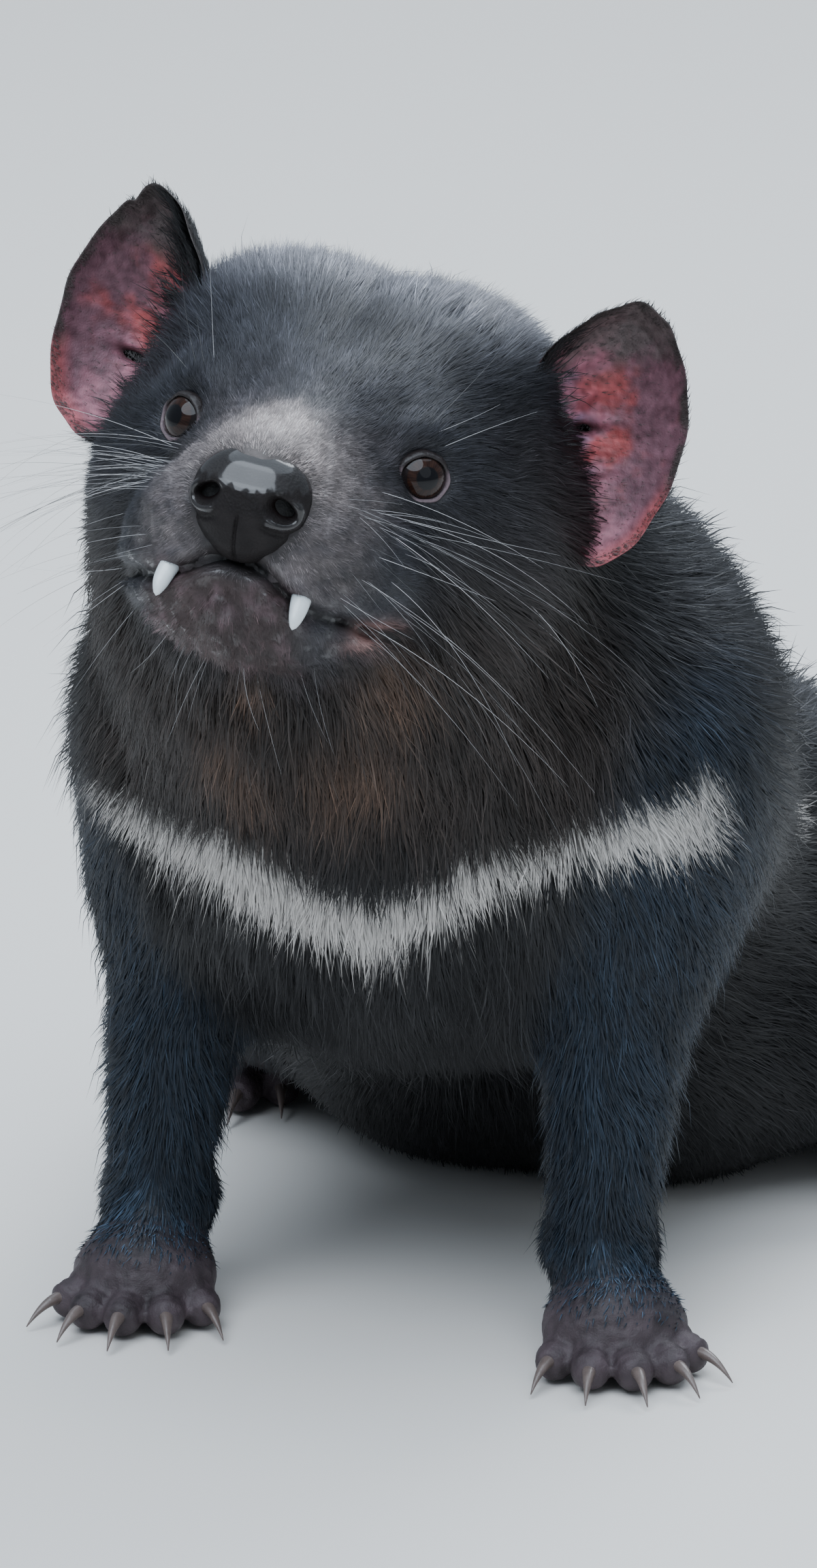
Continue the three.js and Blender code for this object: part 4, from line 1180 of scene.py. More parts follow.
def hair_sizes(p, part, white, draw):
    """Length, width and lift of each tuft by the part that it grows on: short on the muzzle, round
    the eyes and near the floor, long on the body, longer before the right ear than before the left."""
    coat = bpy.context.scene.devil_coat
    h = in_head(p)
    head = head_zone(part)
    trunk, limb = trunk_and_limb(part)
    leg = ramp(trunk - limb, -5, 5) * (1 - head)
    face = 0.30 + 0.70 * ramp(h[:, 1], -44, 10)
    face = face * (0.45 + 0.55 * ramp(eye_gap(h), 7, 14)) * (1 + 0.45 * ramp(h[:, 2], 20, 44))
    face = face * (1 + 0.7 * ramp(-h[:, 2], 42, 56))
    face = face * (1 + 0.9 * spot(h, (-56, 34, 16), (13, 16, 24)))
    face = face * (1 - 0.6 * spot(h, (58, 30, 8), (12, 14, 26)))
    on_body = coat.body_length * (1 - head) * (1 - leg)
    length = 1000 * (on_body + coat.leg_length * leg + coat.head_length * head * face)
    length = length * (1 - 0.38 * white) * (0.28 + 0.72 * ramp(p[:, 2], 8, 62))
    width = 0.72 * (1 - head) + (0.27 + 0.15 * ramp(h[:, 1], -30, 20)) * head
    lift = 14 + 7 * (1 - head) * (1 - leg) + 6 * white + 5 * head * ramp(h[:, 2], 10, 40)
    length = length * (0.55 + 0.8 * draw.random(len(p)))
    width = width * (0.7 + 0.6 * draw.random(len(p)))
    lift = np.radians(lift + draw.normal(0, 6, len(p)))
    return length, width, np.clip(lift, 0.04, 0.8)


def coat_material():
    """The one material of all hair, made when it is first asked for."""
    material = bpy.data.materials.get("Coat")
    return material or grained("Coat", 0.46, 300, 2500, 0.45, 0.0, specular=0.32)


def soften(piece, flat, share):
    """Normals of the tufts turned towards the skin's: (1 - share) of their own, plus share of flat."""
    mesh = piece.data
    own = np.empty(len(mesh.vertices) * 3, np.float32)
    mesh.vertex_normals.foreach_get("vector", own)
    mesh.normals_split_custom_set_from_vertices(rows(own.reshape(-1, 3) * (1 - share) + flat * share))


def tufts(name, made, out, colour, tip, uv, share=0.5):
    """One piece of coat: its mesh from spikes, colours from root to tip, soft normals and OFBake."""
    points, faces = made
    each = len(points) // len(out)
    points[:, 2] = np.maximum(points[:, 2], 0.5)
    piece = add_mesh(name, points, faces)
    steps = {4: (0, 0, 0, 1), 7: (0, 0, 0, 0.5, 0.5, 0.5, 1)}[each]
    # Roots at 0.8 of the colour: painted shade deep in the coat.
    shade = np.stack([colour * 0.8 * (1 - step) + tip * step for step in steps], 1)
    paint(piece, np.clip(shade.reshape(-1, 3), 0, 1))
    bake_map(piece, uv, each)
    soften(piece, np.repeat(out, each, 0), share)
    give(piece, coat_material())
    return piece


class CoatPieces(bpy.types.Operator):
    """Build the coat: short overlapping tufts that lie along the body"""

    bl_idname = "devil.coat"
    bl_label = "Coat"

    def execute(self, context):
        regions = coat_regions()
        for seed, (name, share) in enumerate(regions.items()):
            count = int(TUFTS[name] * context.scene.devil_coat.density)
            draw = np.random.default_rng(200 + seed)
            root = scatter(share, count, 100 + seed)
            self.grow(name, root, draw, spikes)
        whole = sum(share for name, share in regions.items() if "face" not in name)
        whole = whole * (1 - foot_share(skin_faces()[1]))
        root = scatter(whole, int(GUARDS * context.scene.devil_coat.density), 150)
        self.grow("coat_guard_hairs", root, np.random.default_rng(250), bent_spikes)
        return {"FINISHED"}

    def grow(self, name, root, draw, make):
        """One piece of coat on the roots: guard hairs are longer, thinner and raised, and bend."""
        count = len(root)
        out = rows(slope(skin_form, root, 1.0))
        part = parts_of(root)
        colour, tips, white = markings(root, draw.normal(0, 1.8, (count, 3)))
        length, width, lift = hair_sizes(root, part, white, draw)
        along = lie_of_coat(root, out, part)
        side = np.cross(out, along)
        along = rows(along + draw.normal(0, 0.14, count)[:, None] * side)
        if make is spikes:
            made = spikes(root, out, along, length, width, lift, 0.25 + 0.3 * width)
        else:
            sink, droop = np.full((2, count), 0.4)
            made = bent_spikes(root, out, along, length * 1.55, width * 0.8, lift + 0.22, sink, droop)
        clumps = 0.30 * waves(root, 6, 61) + 0.35 * waves(root, 2.4, 62)
        # Painted sheen: on the body, tips of skin that faces up are made up to 3.8 times lighter, as if
        # lit from above.
        top_sheen = 1 + 2.8 * ramp(out[:, 2], 0.15, 0.85) * (1 - head_zone(part))
        lively = np.exp(draw.normal(0, 0.42, count)) * (1 + clumps) * top_sheen
        lively = np.where(white > 0.5, 1, lively * tips)
        tufts(name, made, out, colour, colour * lively[:, None], unwrap(name, root))


# Eyes and lids


@functools.lru_cache(maxsize=None)
def eye_seat():
    """Where the head's surface lies before the eye, by halving the depth."""
    near, far = -90.0, 20.0
    for _ in range(30):
        middle = (near + far) / 2
        if head_form(np.array([EYE_SIDE, middle, EYE_HEIGHT], float)) > 0:
            near = middle
        else:
            far = middle
    return np.array([EYE_SIDE, near, EYE_HEIGHT], float)


def gaze(side):
    """The way an eye looks, in the head's frame: forwards, turned outwards."""
    outward = math.radians(EYE_OUTWARD)
    return np.array([side * math.sin(outward), -math.cos(outward), 0])


def eye_centre(side):
    """In the head's frame: the seat moved along the gaze, so that the ball stands a little proud."""
    return mirror(eye_seat(), side) + gaze(side) * (EYE_PROUD - EYE_RADIUS)


def lid_middle(side):
    """The middle of the lids' opening, a little under the front of the ball."""
    return eye_centre(side) + gaze(side) * (EYE_RADIUS - 1.2)


def round_gaze(side):
    """Three directions: the gaze, square to it outwards on the animal, and up."""
    look, up = gaze(side), np.array([0, 0, 1.0])
    return look, rows(np.cross(up, look)) * side, up


def axis_grid(first, last, count, around):
    """Two grids: count values from first to last, each at all the turns round an axis."""
    return np.meshgrid(np.linspace(first, last, count), turns(around), indexing="ij")


# Each lid's profile round the ball: degrees past the opening's edge, and millimetres over the ball;
# half angles of the opening in degrees, and how far below level its inner corner lies, in radians

LID_PROFILE = ((0, 0.1), (-1.2, 0.35), (-1, 0.65), (1, 0.95), (5, 1.0), (10, 0.85), (16, 0.4))
LID_PROFILE += ((24, -0.1), (32, -0.6), (30, -1.0), (20, -0.8), (10, -0.5), (4, -0.3), (1, -0.1))
OPEN_ACROSS, OPEN_UP, OPEN_DOWN, OPEN_POWER = 50, 42, 43, 1.9
CORNER_BELOW = 0.35

# The eye's dark colours, and the angles from the gaze at which its parts end

PUPIL_COLOUR = (0.004, 0.004, 0.005)
RING_COLOUR = (0.012, 0.009, 0.009)
PUPIL_END, IRIS_END = 0.40, 0.72


class EyePieces(bpy.types.Operator):
    """Build the eyeballs and the bare rims of the lids"""

    bl_idname = "devil.eyes"
    bl_label = "Eyes and lids"

    def execute(self, context):
        eye, tree, surface = new_material("Eye")
        colour = node(tree, "ShaderNodeVertexColor", -300, 100, layer_name="Colour")
        tree.links.new(colour.outputs["Color"], surface.inputs["Base Color"])
        for socket, value in (
            ("Roughness", 0.12),
            ("Coat Weight", 1.0),
            ("Coat Roughness", 0.015),
            ("Coat IOR", 1.32),
            ("IOR", 1.4),
            ("Specular IOR Level", 0.05),
        ):
            surface.inputs[socket].default_value = value
        lid = grained(
            "Eyelid", 0.42, 700, 2400, 0.5, 0.8, coat_weight=0.12, coat_roughness=0.25, specular=0.3
        )
        for side, name in SIDE_NAMES:
            self.ball(side, name, context.scene.devil_face, eye)
            self.lids(side, name, context.scene.devil_face, lid)
        return {"FINISHED"}

    def ball(self, side, name, face, eye):
        """A ball with a clear bulge, coloured by the angle from its gaze: pupil, iris, ring, white."""
        look, across, up = round_gaze(side)
        polar, turn = axis_grid(0.004, math.pi - 0.004, 90, 96)
        bulge = EYE_RADIUS * (1 + 0.03 * bell(polar, 0.55))
        square = np.cos(turn)[..., None] * across + np.sin(turn)[..., None] * up
        ball = np.cos(polar)[..., None] * look
        ball = ball + np.sin(polar)[..., None] * square
        surface = out_of_head(eye_centre(side) + bulge[..., None] * ball)
        piece = add_mesh(f"eyeball_{name}", *shell(surface))
        radial, angle = np.append(polar.ravel(), [0, math.pi]), np.append(turn.ravel(), [0, 0])
        iris = ramp(IRIS_END - radial, 0, 0.05) * (1 - ramp(PUPIL_END - radial, -0.01, 0.04))
        streak = 1 + 0.3 * np.sin(angle * 37) + 0.25 * np.sin(angle * 11 + radial * 9)
        iris_tone = np.array(face.iris_colour) * streak[:, None] - 0.004
        shade = np.array(PUPIL_COLOUR) + iris_tone * iris[:, None]
        ring = ramp(radial, 0.66, 0.74)[:, None]
        shade = shade * (1 - ring) + np.array(RING_COLOUR) * ring
        white = (ramp(radial, 0.80, 0.90) * ramp(np.cos(angle + 0.7), -0.1, 0.5))[:, None]
        shade = shade * (1 - white) + np.array(face.lid_pale_colour) * 0.6 * white
        paint(piece, np.clip(shade, 0, 1))
        give(piece, eye)
        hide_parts(f"eye_{name}")

    def lids(self, side, name, face, lid):
        """One closed band round the ball: at each turn its profile starts at the opening's half angle,
        (|cos / across|^n + |sin / up|^n)^(-1/n) with n just under 2, drawn out at the inner corner."""
        look, across, up = round_gaze(side)
        turn = turns(96)
        high = np.where(np.sin(turn) > 0, OPEN_UP, OPEN_DOWN)
        level = np.abs(np.cos(turn) / OPEN_ACROSS) ** OPEN_POWER
        level = level + np.abs(np.sin(turn) / high) ** OPEN_POWER
        edge = level ** (-1 / OPEN_POWER)
        inwards = np.cos(turn + math.pi - CORNER_BELOW)
        edge = edge + 3.5 * np.maximum(0, inwards) ** 9
        past, over = np.array(LID_PROFILE).T[:, None]
        polar = np.radians(edge[:, None] + past)
        crease = 0.22 * np.sin(past * 0.75 + 2) * ramp(past, 1, 8)
        reach = EYE_RADIUS + over + crease + 0.12 * np.sin(7 * turn + side)[:, None]
        way = np.cos(polar)[..., None] * look
        square = np.cos(turn)[:, None] * across + np.sin(turn)[:, None] * up
        way = way + np.sin(polar)[..., None] * square[:, None]
        points = eye_centre(side) + reach[..., None] * way
        count, around = polar.shape
        faces = grid_faces(count + 1, around)
        faces = np.where(faces >= count * around, faces - count * around, faces)
        points = out_of_head(points.reshape(-1, 3))
        piece = add_mesh(f"eyelids_{name}", points, outwards(points, faces))
        crescent = ramp(np.cos(turn + 0.75), 0.15, 0.75)[:, None] * bell(past - 5, 6.5)
        corner = ramp(inwards, 0.80, 0.97)[:, None] * bell(past - 2, 5)
        pale = np.clip(crescent + 0.5 * corner, 0, 1)[..., None]
        tone = np.array(face.lid_colour) * (1 - pale) + np.array(face.lid_pale_colour) * pale
        paint(piece, tone.reshape(-1, 3))
        give(piece, lid)
        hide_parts("head")


# Nose


def nose_width(z):
    """Share of the pad's width at a height from -1 to 1: narrower below."""
    return 1 - NOSE_TAPER * (1 - z) - 0.06 * np.maximum(0, -z) ** 2


def over_edge(p):
    """Height over the bowed edge between the pad's wet top and its matt front."""
    return p[..., 2] - 3.4 - 0.02 * p[..., 0] ** 2


def nose_surface(polar, turn):
    """The pad: an ellipsoid about its own forward axis, narrower below, with two nostrils pressed in, a
    wing raised round the outer and lower side of each with a valley outside it, an edge above, a dimple
    in the top and a groove below. Gives the points, the nostrils' depth, the wings and the plain pad."""
    unit = np.stack([np.sin(polar) * np.cos(turn), -np.cos(polar), np.sin(polar) * np.sin(turn)], -1)
    unit[..., 0] *= nose_width(unit[..., 2])
    p = unit * np.array(NOSE_SIZE)
    p[..., 2] *= np.where(p[..., 2] < 0, NOSE_LOWER_SHARE, 1)
    front = ramp(-p[..., 1], 0, 5)
    across, up = np.abs(p[..., 0]) - NOSTRIL_SIDE, p[..., 2] - NOSTRIL_HEIGHT
    turned, raised = across * 0.86 - up * 0.5, across * 0.5 + up * 0.86
    hole = np.exp(-(((turned / 3.2) ** 2 + (raised / 2.3) ** 2) ** 1.5))
    pressed = 8.0 * front * hole
    ring = np.sqrt(across**2 + (up * 1.12) ** 2)
    outer = ramp(across - 0.9 * up, -2, 3)
    wing = front * outer * bell(ring - 4.6, 1.4)
    valley = 0.7 * front * outer * bell(ring - 7.0, 1.0) * ramp(16.5 - np.abs(p[..., 0]), 0, 3)
    groove = 1.0 * bell(p[..., 0], 0.5) * ramp(-p[..., 2], 1, 6) * front
    dimple = 0.8 * bell(p[..., 0], 5) * ramp(p[..., 2], 2, 10) * front
    edge = 0.6 * bell(over_edge(p), 1.6) * front * ramp(13 - np.abs(p[..., 0]), 0, 5)
    inward = groove + dimple + valley - 1.2 * wing - edge
    moved = p - rows(unit * np.array([0.55, 1, 0.45])) * inward[..., None]
    moved = moved + np.array([0, 1, 0.3]) * pressed[..., None]
    return np.asarray(NOSE_AT, float) + moved, pressed, wing, p


# Deep in the nostrils: their own dark skin with painted shade.
NOSTRIL_SHADE_COLOUR = (0.006, 0.002, 0.002)


class NosePiece(bpy.types.Operator):
    """Build the nose pad with its nostrils, wet above and matt in front"""

    bl_idname = "devil.nose"
    bl_label = "Nose"

    def execute(self, context):
        surface, pressed, wing, p = nose_surface(*axis_grid(0.006, 2.45, 170, 220))
        piece = add_mesh("nose_pad", *shell(out_of_head(surface)))
        deep = ramp(np.append(pressed.ravel(), [0, 0]), 2.2, 5.0)[:, None]
        p = np.concatenate([p.reshape(-1, 3), np.zeros((2, 3))])
        mottle = 1 + 0.25 * waves(p, 5, 91)[:, None]
        colour = np.array(context.scene.devil_face.nose_colour) * mottle
        paint(piece, colour * (1 - deep) + np.array(NOSTRIL_SHADE_COLOUR) * deep)
        ragged = 1.6 * waves(p, 3.5, 92) + 0.8 * waves(p, 1.4, 93)
        top = ramp(over_edge(p) + ragged, -0.6, 0.8)
        wing = ramp(np.append(wing.ravel(), [0, 0]) + 0.12 * ragged, 0.35, 0.6)
        wet(piece, (0.05 + 0.95 * np.maximum(top, wing)) * (1 - deep[:, 0]))
        material = grained(
            "Nose", 0.6, 1300, 3200, 0.3, 0.7, coat_weight="Wet", coat_roughness=0.12, specular=0.12
        )
        give(piece, material)
        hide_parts("nose")
        return {"FINISHED"}


# Ears


# Lumps and hollows inside the ear: place across and up, half sizes, tilt, and height towards the front

EAR_RELIEF = (
    ((-9, -13), (5.0, 4.2), 0.3, 3.4),
    ((-3, -19), (4.0, 3.0), 0.5, 2.4),
    ((-3, -8), (3.4, 1.8), 0.6, 2.2),
    ((-7, 8), (10.0, 2.2), 0.45, 3.2),
    ((2, 3), (6.0, 1.5), 0.3, 1.8),
    ((-8, 17), (9.0, 2.0), 0.7, 1.8),
    ((4, -10), (9.0, 1.6), 0.35, 1.2),
    ((-7, -5), (4.5, 1.4), 0.4, -2.8),
)

# By side, left 1 and right -1: the place of the slit of the opening, how far the inner edge swells
# forwards, where the long hair ends, how much of the upper outer rim is cut away, the rim's notch

EAR_SLIT = {1: (-2, 1.5), -1: (6, -10)}
EAR_SWELL = {1: 6.0, -1: 0.0}
EAR_HAIR_EDGE = {1: 10, -1: -2}
EAR_CUT = {1: 0.0, -1: 0.20}
EAR_NOTCH = {1: 0.02, -1: 0.07}


def ear_flat(across, height, side):
    """Points of the ear laid flat, far apart for the two sides, so that their waves differ."""
    return np.stack([across, height, np.zeros_like(across)], -1) + 200 * side


def ear_relief(across, height, side):
    """Sum of the lumps, each h exp(-(u / a)^2 - (v / b)^2) in its own tilted frame, and of waves."""
    total = 0
    for (x, z), (a, b), tilt, rise in (*EAR_RELIEF, (EAR_SLIT[side], (4.5, 1.6), 0.1, -6.0)):
        dx, dz = across - x, height - z
        u = dx * math.cos(tilt) + dz * math.sin(tilt)
        v = dz * math.cos(tilt) - dx * math.sin(tilt)
        total = total + rise * bell(u, a, v, b)
    flat = ear_flat(across, height, side)
    near = bell(across + 4, 13, height + 3, 19)
    swell = EAR_SWELL[side] * bell(across + 10, 6.5) * ramp(26 - np.abs(height + 6), 0, 12)
    return total + swell + 1.0 * waves(flat, 7, 76) * near + 0.4 * waves(flat, 3, 77) * near


def ear_surface(reach, turn, back, side):
    """The ear's dish: reach from its middle to its rim, turn round it, back 0 inside and 1 behind. Its
    inside adds the relief, and its rim is uneven, notched and cut away outside by a little."""
    up = np.sin(turn)
    taper = 1 - EAR_TIP_TAPER * np.maximum(0, up) * reach
    notch = EAR_NOTCH[side] * bell(turn - 1.2, 0.15)
    uneven = 1 + (0.018 * np.sin(5 * turn + side) + 0.008 * np.sin(13 * turn) - notch) * reach**4
    cut = 1 - EAR_CUT[side] * ramp(up, 0.1, 0.8) * ramp(np.cos(turn), 0, 0.5)
    across = np.cos(turn) * reach * taper * EAR_HALF_WIDTH * uneven * cut
    across = across + EAR_TIP_OUT * np.maximum(0, up) * reach * reach * cut
    height = up * reach * EAR_HALF_HEIGHT * uneven
    cup = EAR_CUP * (1 - reach * reach)
    roll = -EAR_ROLL * np.maximum(0, reach - 0.85) / 0.15 * (0.5 + 0.9 * ramp(up, 0.2, 0.9))
    wall = back * EAR_THICKNESS * (1 - 0.55 * reach**4)
    inner = (1 - back) * (1 - reach**4)
    shape = np.stack([across, cup + roll + wall - inner * ear_relief(across, height, side), height], -1)
    for angle, (a, b) in ((EAR_LEAN, (0, 2)), (EAR_OUTWARD, (0, 1))):
        t = math.radians(angle) * (1 if b == 1 else -1)
        u, w = shape[..., a].copy(), shape[..., b].copy()
        shape[..., a] = u * math.cos(t) - w * math.sin(t)
        shape[..., b] = u * math.sin(t) + w * math.cos(t)
    return mirror(shape + np.array(EAR_AT, float), side), across, height


class EarPieces(bpy.types.Operator):
    """Build the ears: thin dishes, bare inside and haired behind"""

    bl_idname = "devil.ears"
    bl_label = "Ears"

    def execute(self, context):
        face = context.scene.devil_face
        material = grained("Ear", 0.5, 300, 1700, 0.6, 0.8, specular=0.35)
        for side, name in SIDE_NAMES:
            reach, turn = axis_grid(0.01, 1, 80, 144)
            inside, across, height = ear_surface(reach, turn, 0, side)
            outside, _, _ = ear_surface(reach[::-1], turn[::-1], 1, side)
            both = out_of_head(np.concatenate([inside, outside]))
            piece = add_mesh(f"ear_{name}_shell", *shell(both))
            tone = self.inside_tones(face, reach, across, height, side)
            back = np.zeros_like(tone) + np.array(face.ear_rim_colour) * 0.6
            middles = np.array([tone[0, 0], back[0, 0]])
            tones = np.concatenate([tone.reshape(-1, 3), back.reshape(-1, 3), middles])
            paint(piece, np.clip(tones, 0, 1))
            give(piece, material)
            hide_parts(f"ear_{name}")
            self.hairs(side, name, face)
        return {"FINISHED"}

    def inside_tones(self, face, reach, across, height, side):
        """Two red patches, a lower rim painted red as light shining through it, mauve near the opening,
        purple-grey outside, brown above and on the rest of the rim, and painted shade in the hollows."""
        flat = ear_flat(across, height, side)
        uneven = waves(flat, 12, 71) + 0.6 * waves(flat, 5, 72) + 0.3 * waves(flat, 2.2, 70)
        tone = np.zeros(across.shape + (3,)) + np.array(face.ear_colour)
        outer = ramp(across - 1 + 0.15 * height + 4 * uneven, 0, 12)
        tone = blend(tone, face.ear_dark_colour, 0.8 * outer)
        relief = ear_relief(across, height, side)
        mauve = bell(across + 7, 9, height + 3, 17) * (0.6 + 0.25 * relief)
        tone = blend(tone, face.ear_pale_colour, ramp(mauve + 0.2 * waves(flat, 6, 78), 0.2, 0.9))
        red = bell(across - 1, 11, height - 12 - 0.5 * across, 7)
        red = np.maximum(red, bell(across - 5, 12, height + 5 - 0.35 * across, 5))
        tone = blend(tone, face.ear_red_colour, 0.62 * ramp(red + 0.35 * uneven, 0.15, 1.0))
        # Painted glow: the thin lower rim turned red as if light shone through it.
        backlit_lower_rim = ramp(reach, 0.84, 0.97) * ramp(-height, 6, 18) * ramp(across, 0, 8)
        tone = blend(tone, face.ear_red_colour, 0.45 * backlit_lower_rim)
        top = ramp(height - 15 - 0.1 * across + 4 * uneven, 0, 12)
        tone = blend(tone, np.array(face.ear_rim_colour) * 1.9, 0.85 * top)
        rim = ramp(reach + 0.05 * uneven, 0.92, 1.0) * (1 - backlit_lower_rim)
        tone = blend(tone, face.ear_rim_colour, rim)
        shade = 1 + 0.28 * waves(flat, 5, 79) + 0.22 * waves(flat, 2.4, 80)
        shade = shade + 0.14 * waves(flat, 1.3, 81)
        # Painted shade: darker by up to 0.85 in the hollows and the slit of the opening.
        return tone * (shade * (1 - 0.85 * ramp(-relief, 0.5, 3.5)))[..., None]

    def hairs(self, side, name, face):
        """Hair on the ear: in front long towards the inner edge and sparse elsewhere, but for the rim
        and the top; short and even on the back."""
        draw = np.random.default_rng(300 + side)
        body_colour = np.array(bpy.context.scene.devil_coat.body_colour)
        for label, back, count in (("front", 0, 5000), ("back", 1, 9000)):
            reach = np.sqrt(draw.random(count)) * 0.985
            turn = draw.random(count) * 2 * math.pi
            if not back:
                rim = draw.random(count) < 0.22
                reach = np.where(rim, 0.93 + 0.055 * draw.random(count), reach)
            root, across, height = ear_surface(reach, turn, back, side)
            out = self.outward(root, reach, turn, back, side)
            inner = ramp(-across + draw.normal(0, 2.5, count) - EAR_HAIR_EDGE[side], 0, 6)
            tone = body_colour * (1.7 - 0.8 * inner[:, None])
            if back:
                lie, length, width = (0.35 * side, 0.1, 1.0), 3.6, np.full(count, 0.34)
                keep = np.ones(count, bool)
            else:
                lie, length, width = (0.8 * side, -0.35, 0.25), 2.0 + 7.5 * inner, 0.2 + 0.22 * inner
                tone = np.where((inner < 0.5)[:, None], np.array(face.ear_rim_colour) * 1.2, tone)
                most = [inner, 0.5 * ramp(height, 14, 30), 0.9 * (reach > 0.92)]
                keep = draw.random(count) < np.maximum(np.maximum.reduce(most), 0.10)
            way = np.array(lie) @ HEAD_AXES.T + 0.175 * draw.normal(size=(count, 3))
            along = rows(way - (way * out).sum(-1, keepdims=True) * out)
            length = length * (0.6 + 0.8 * draw.random(count))
            tip = tone * (1.6 + 0.8 * draw.random(count))[:, None]
            lift = np.radians(18 + 8 * draw.random(count))
            sink, droop = np.full(count, 0.3), np.full(count, 0.25)
            shape = (out_of_head(root), out, along, length, width, lift, sink, droop)
            made = bent_spikes(*(column[keep] for column in shape))
            uv = 0.5 + 0.45 * np.stack([np.cos(turn), np.sin(turn)], -1) * reach[:, None]
            hair = f"ear_{name}_hair_{label}"
            tufts(hair, made, out[keep], tone[keep], tip[keep], uv[keep], 0.6)

    def outward(self, root, reach, turn, back, side):
        """The ear's normal at points, away from its inside in front and behind, in the body's frame."""
        step = 0.004
        along_reach = ear_surface(reach - step, turn, back, side)[0] - root
        next_turn = turn + step / np.maximum(reach, 0.1)
        along_turn = ear_surface(reach, next_turn, back, side)[0] - root
        out = rows(np.cross(along_reach, along_turn)) @ HEAD_AXES.T
        facing = np.array([0, 1.0 if back else -1.0, 0]) @ HEAD_AXES.T
        return out * np.sign(out @ facing)[:, None]


# Teeth, claws and whiskers


def bow(root, tip, rise, count):
    """Points on the parabola from root to tip that passes rise beside the middle."""
    t = np.linspace(0, 1, count)[:, None]
    a, b = np.asarray(root, float), np.asarray(tip, float)
    middle = (a + b) / 2 + np.asarray(rise, float)
    return (1 - t) ** 2 * a + 2 * t * (1 - t) * middle + t * t * b


CANINE_RINGS = 22


class ToothPieces(bpy.types.Operator):
    """Build the two upper canines that the lips leave bare"""

    bl_idname = "devil.teeth"
    bl_label = "Teeth"

    def execute(self, context):
        tubes = []
        for side in SIDES:
            path = mirror(bow(CANINE_ROOT, CANINE_TIP, CANINE_BOW, 24)[:CANINE_RINGS], side)
            taper = np.sqrt(np.clip(1 - np.linspace(0, 1, CANINE_RINGS) ** 2.6, 0, 1))
            radii = CANINE_RADIUS * taper + 0.12
            tubes.append(out_of_head(carried(path, radii, 20, 0.85)))
        points, faces = several(tubes)
        piece = add_mesh("canines", points, faces)
        colour = context.scene.devil_face.tooth_colour
        looks = {"colour": colour, "coat_weight": 0.5, "coat_roughness": 0.08}
        material = grained("Tooth", 0.3, 350, 1600, 0.3, 0.25, **looks)
        give(piece, material)
        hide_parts("head")
        return {"FINISHED"}


def claw_paths(side):
    """Root and tip of each claw of one side, in the animal's frame."""
    found = []
    for toe_list, radius, ankle, axes in (
        (FOREFOOT_TOES, FOREFOOT_TOE_RADIUS, FOREFOOT_ANKLE, forefoot_axes(side)),
        (HINDFOOT_TOES, HINDFOOT_TOE_RADIUS, HINDFOOT_ANKLE, np.eye(3)),
    ):
        for angle, length in toe_list:
            x, y = toe_end(angle, length)
            ux, uy = toe_end(angle, 1)
            reach = CLAW_LENGTH + radius * 0.6
            root = np.array([x, y, radius * 1.2])
            tip = np.array([x + ux * reach, y + uy * reach, CLAW_TIP_HEIGHT])
            ends = (end @ axes.T + np.array(ankle, float) for end in (root, tip))
            found.append([mirror(end, side) for end in ends])
    return found


CLAW_RINGS = 18


class ClawPieces(bpy.types.Operator):
    """Build the claws of the four feet"""

    bl_idname = "devil.claws"
    bl_label = "Claws"

    def execute(self, context):
        radii = CLAW_RADIUS * 0.84 * (1 - 0.93 * np.linspace(0, 1, CLAW_RINGS) ** 1.4)
        tubes = []
        for side in SIDES:
            for root, tip in claw_paths(side):
                path = bow(root, tip, (0, 0, CLAW_RISE + 1.5), CLAW_RINGS)
                tubes.append(carried(path, radii, 14, 0.85))
        points, faces = several(tubes)
        piece = add_mesh("claws", points, faces)
        colour = context.scene.devil_face.claw_colour
        looks = {"colour": colour, "coat_weight": 0.2, "coat_roughness": 0.2}
        material = grained("Claw horn", 0.34, 350, 1900, 0.7, 0.5, **looks)
        give(piece, material)
        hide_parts(*FEET)
        return {"FINISHED"}


def whisker(root, way, length, droop, radius):
    """A tapering hair: from its root along way, falling by droop times t squared, t from 0 to 1."""
    t = np.linspace(0, 1, 14)[:, None]
    path = root + way * length * t + droop * t * t
    return carried(path, radius * (1.0 - 0.8 * t[:, 0]), 5)


# Beds of whiskers: count, middle in the head's frame, spread, direction, its change with the place
# back in the bed, lengths at the front and at the back, droop

WHISKER_BEDS = (
    (58, (24, -29, -24), (7, 17, 10), (0.86, -0.10, -0.16), (0.1, 0.35, 0), (16, 80), 22),
    (4, (30, -10, 9), (5, 5, 3), (0.50, 0.25, 0.62), (0.2, 0.3, 0), (24, 44), 6),
    (5, (47, 20, -20), (4, 7, 5), (0.80, 0.35, -0.35), (0, 0.2, 0), (30, 46), 9),
    (9, (12, -28, -56), (10, 12, 4), (0.30, -0.12, -0.95), (0.2, 0.1, 0), (12, 26), 3),
    (6, (36, -4, -42), (6, 10, 5), (0.62, 0.12, -0.70), (0.1, 0.2, 0), (22, 46), 5),
)


def face_skin(h):
    """Distance from the skin of the head, without its folds."""
    return head_form(h) + head_depth(h)


def root_in_skin(root):
    """A point moved to a millimetre under the skin of the face, by four clipped steps on its slope."""
    for _ in range(4):
        steep = slope(face_skin, root[None])[0]
        over = face_skin(root[None])[0] + 1.0
        root = root - steep * np.clip(over / max(steep @ steep, 0.2), -6, 6)
    return root


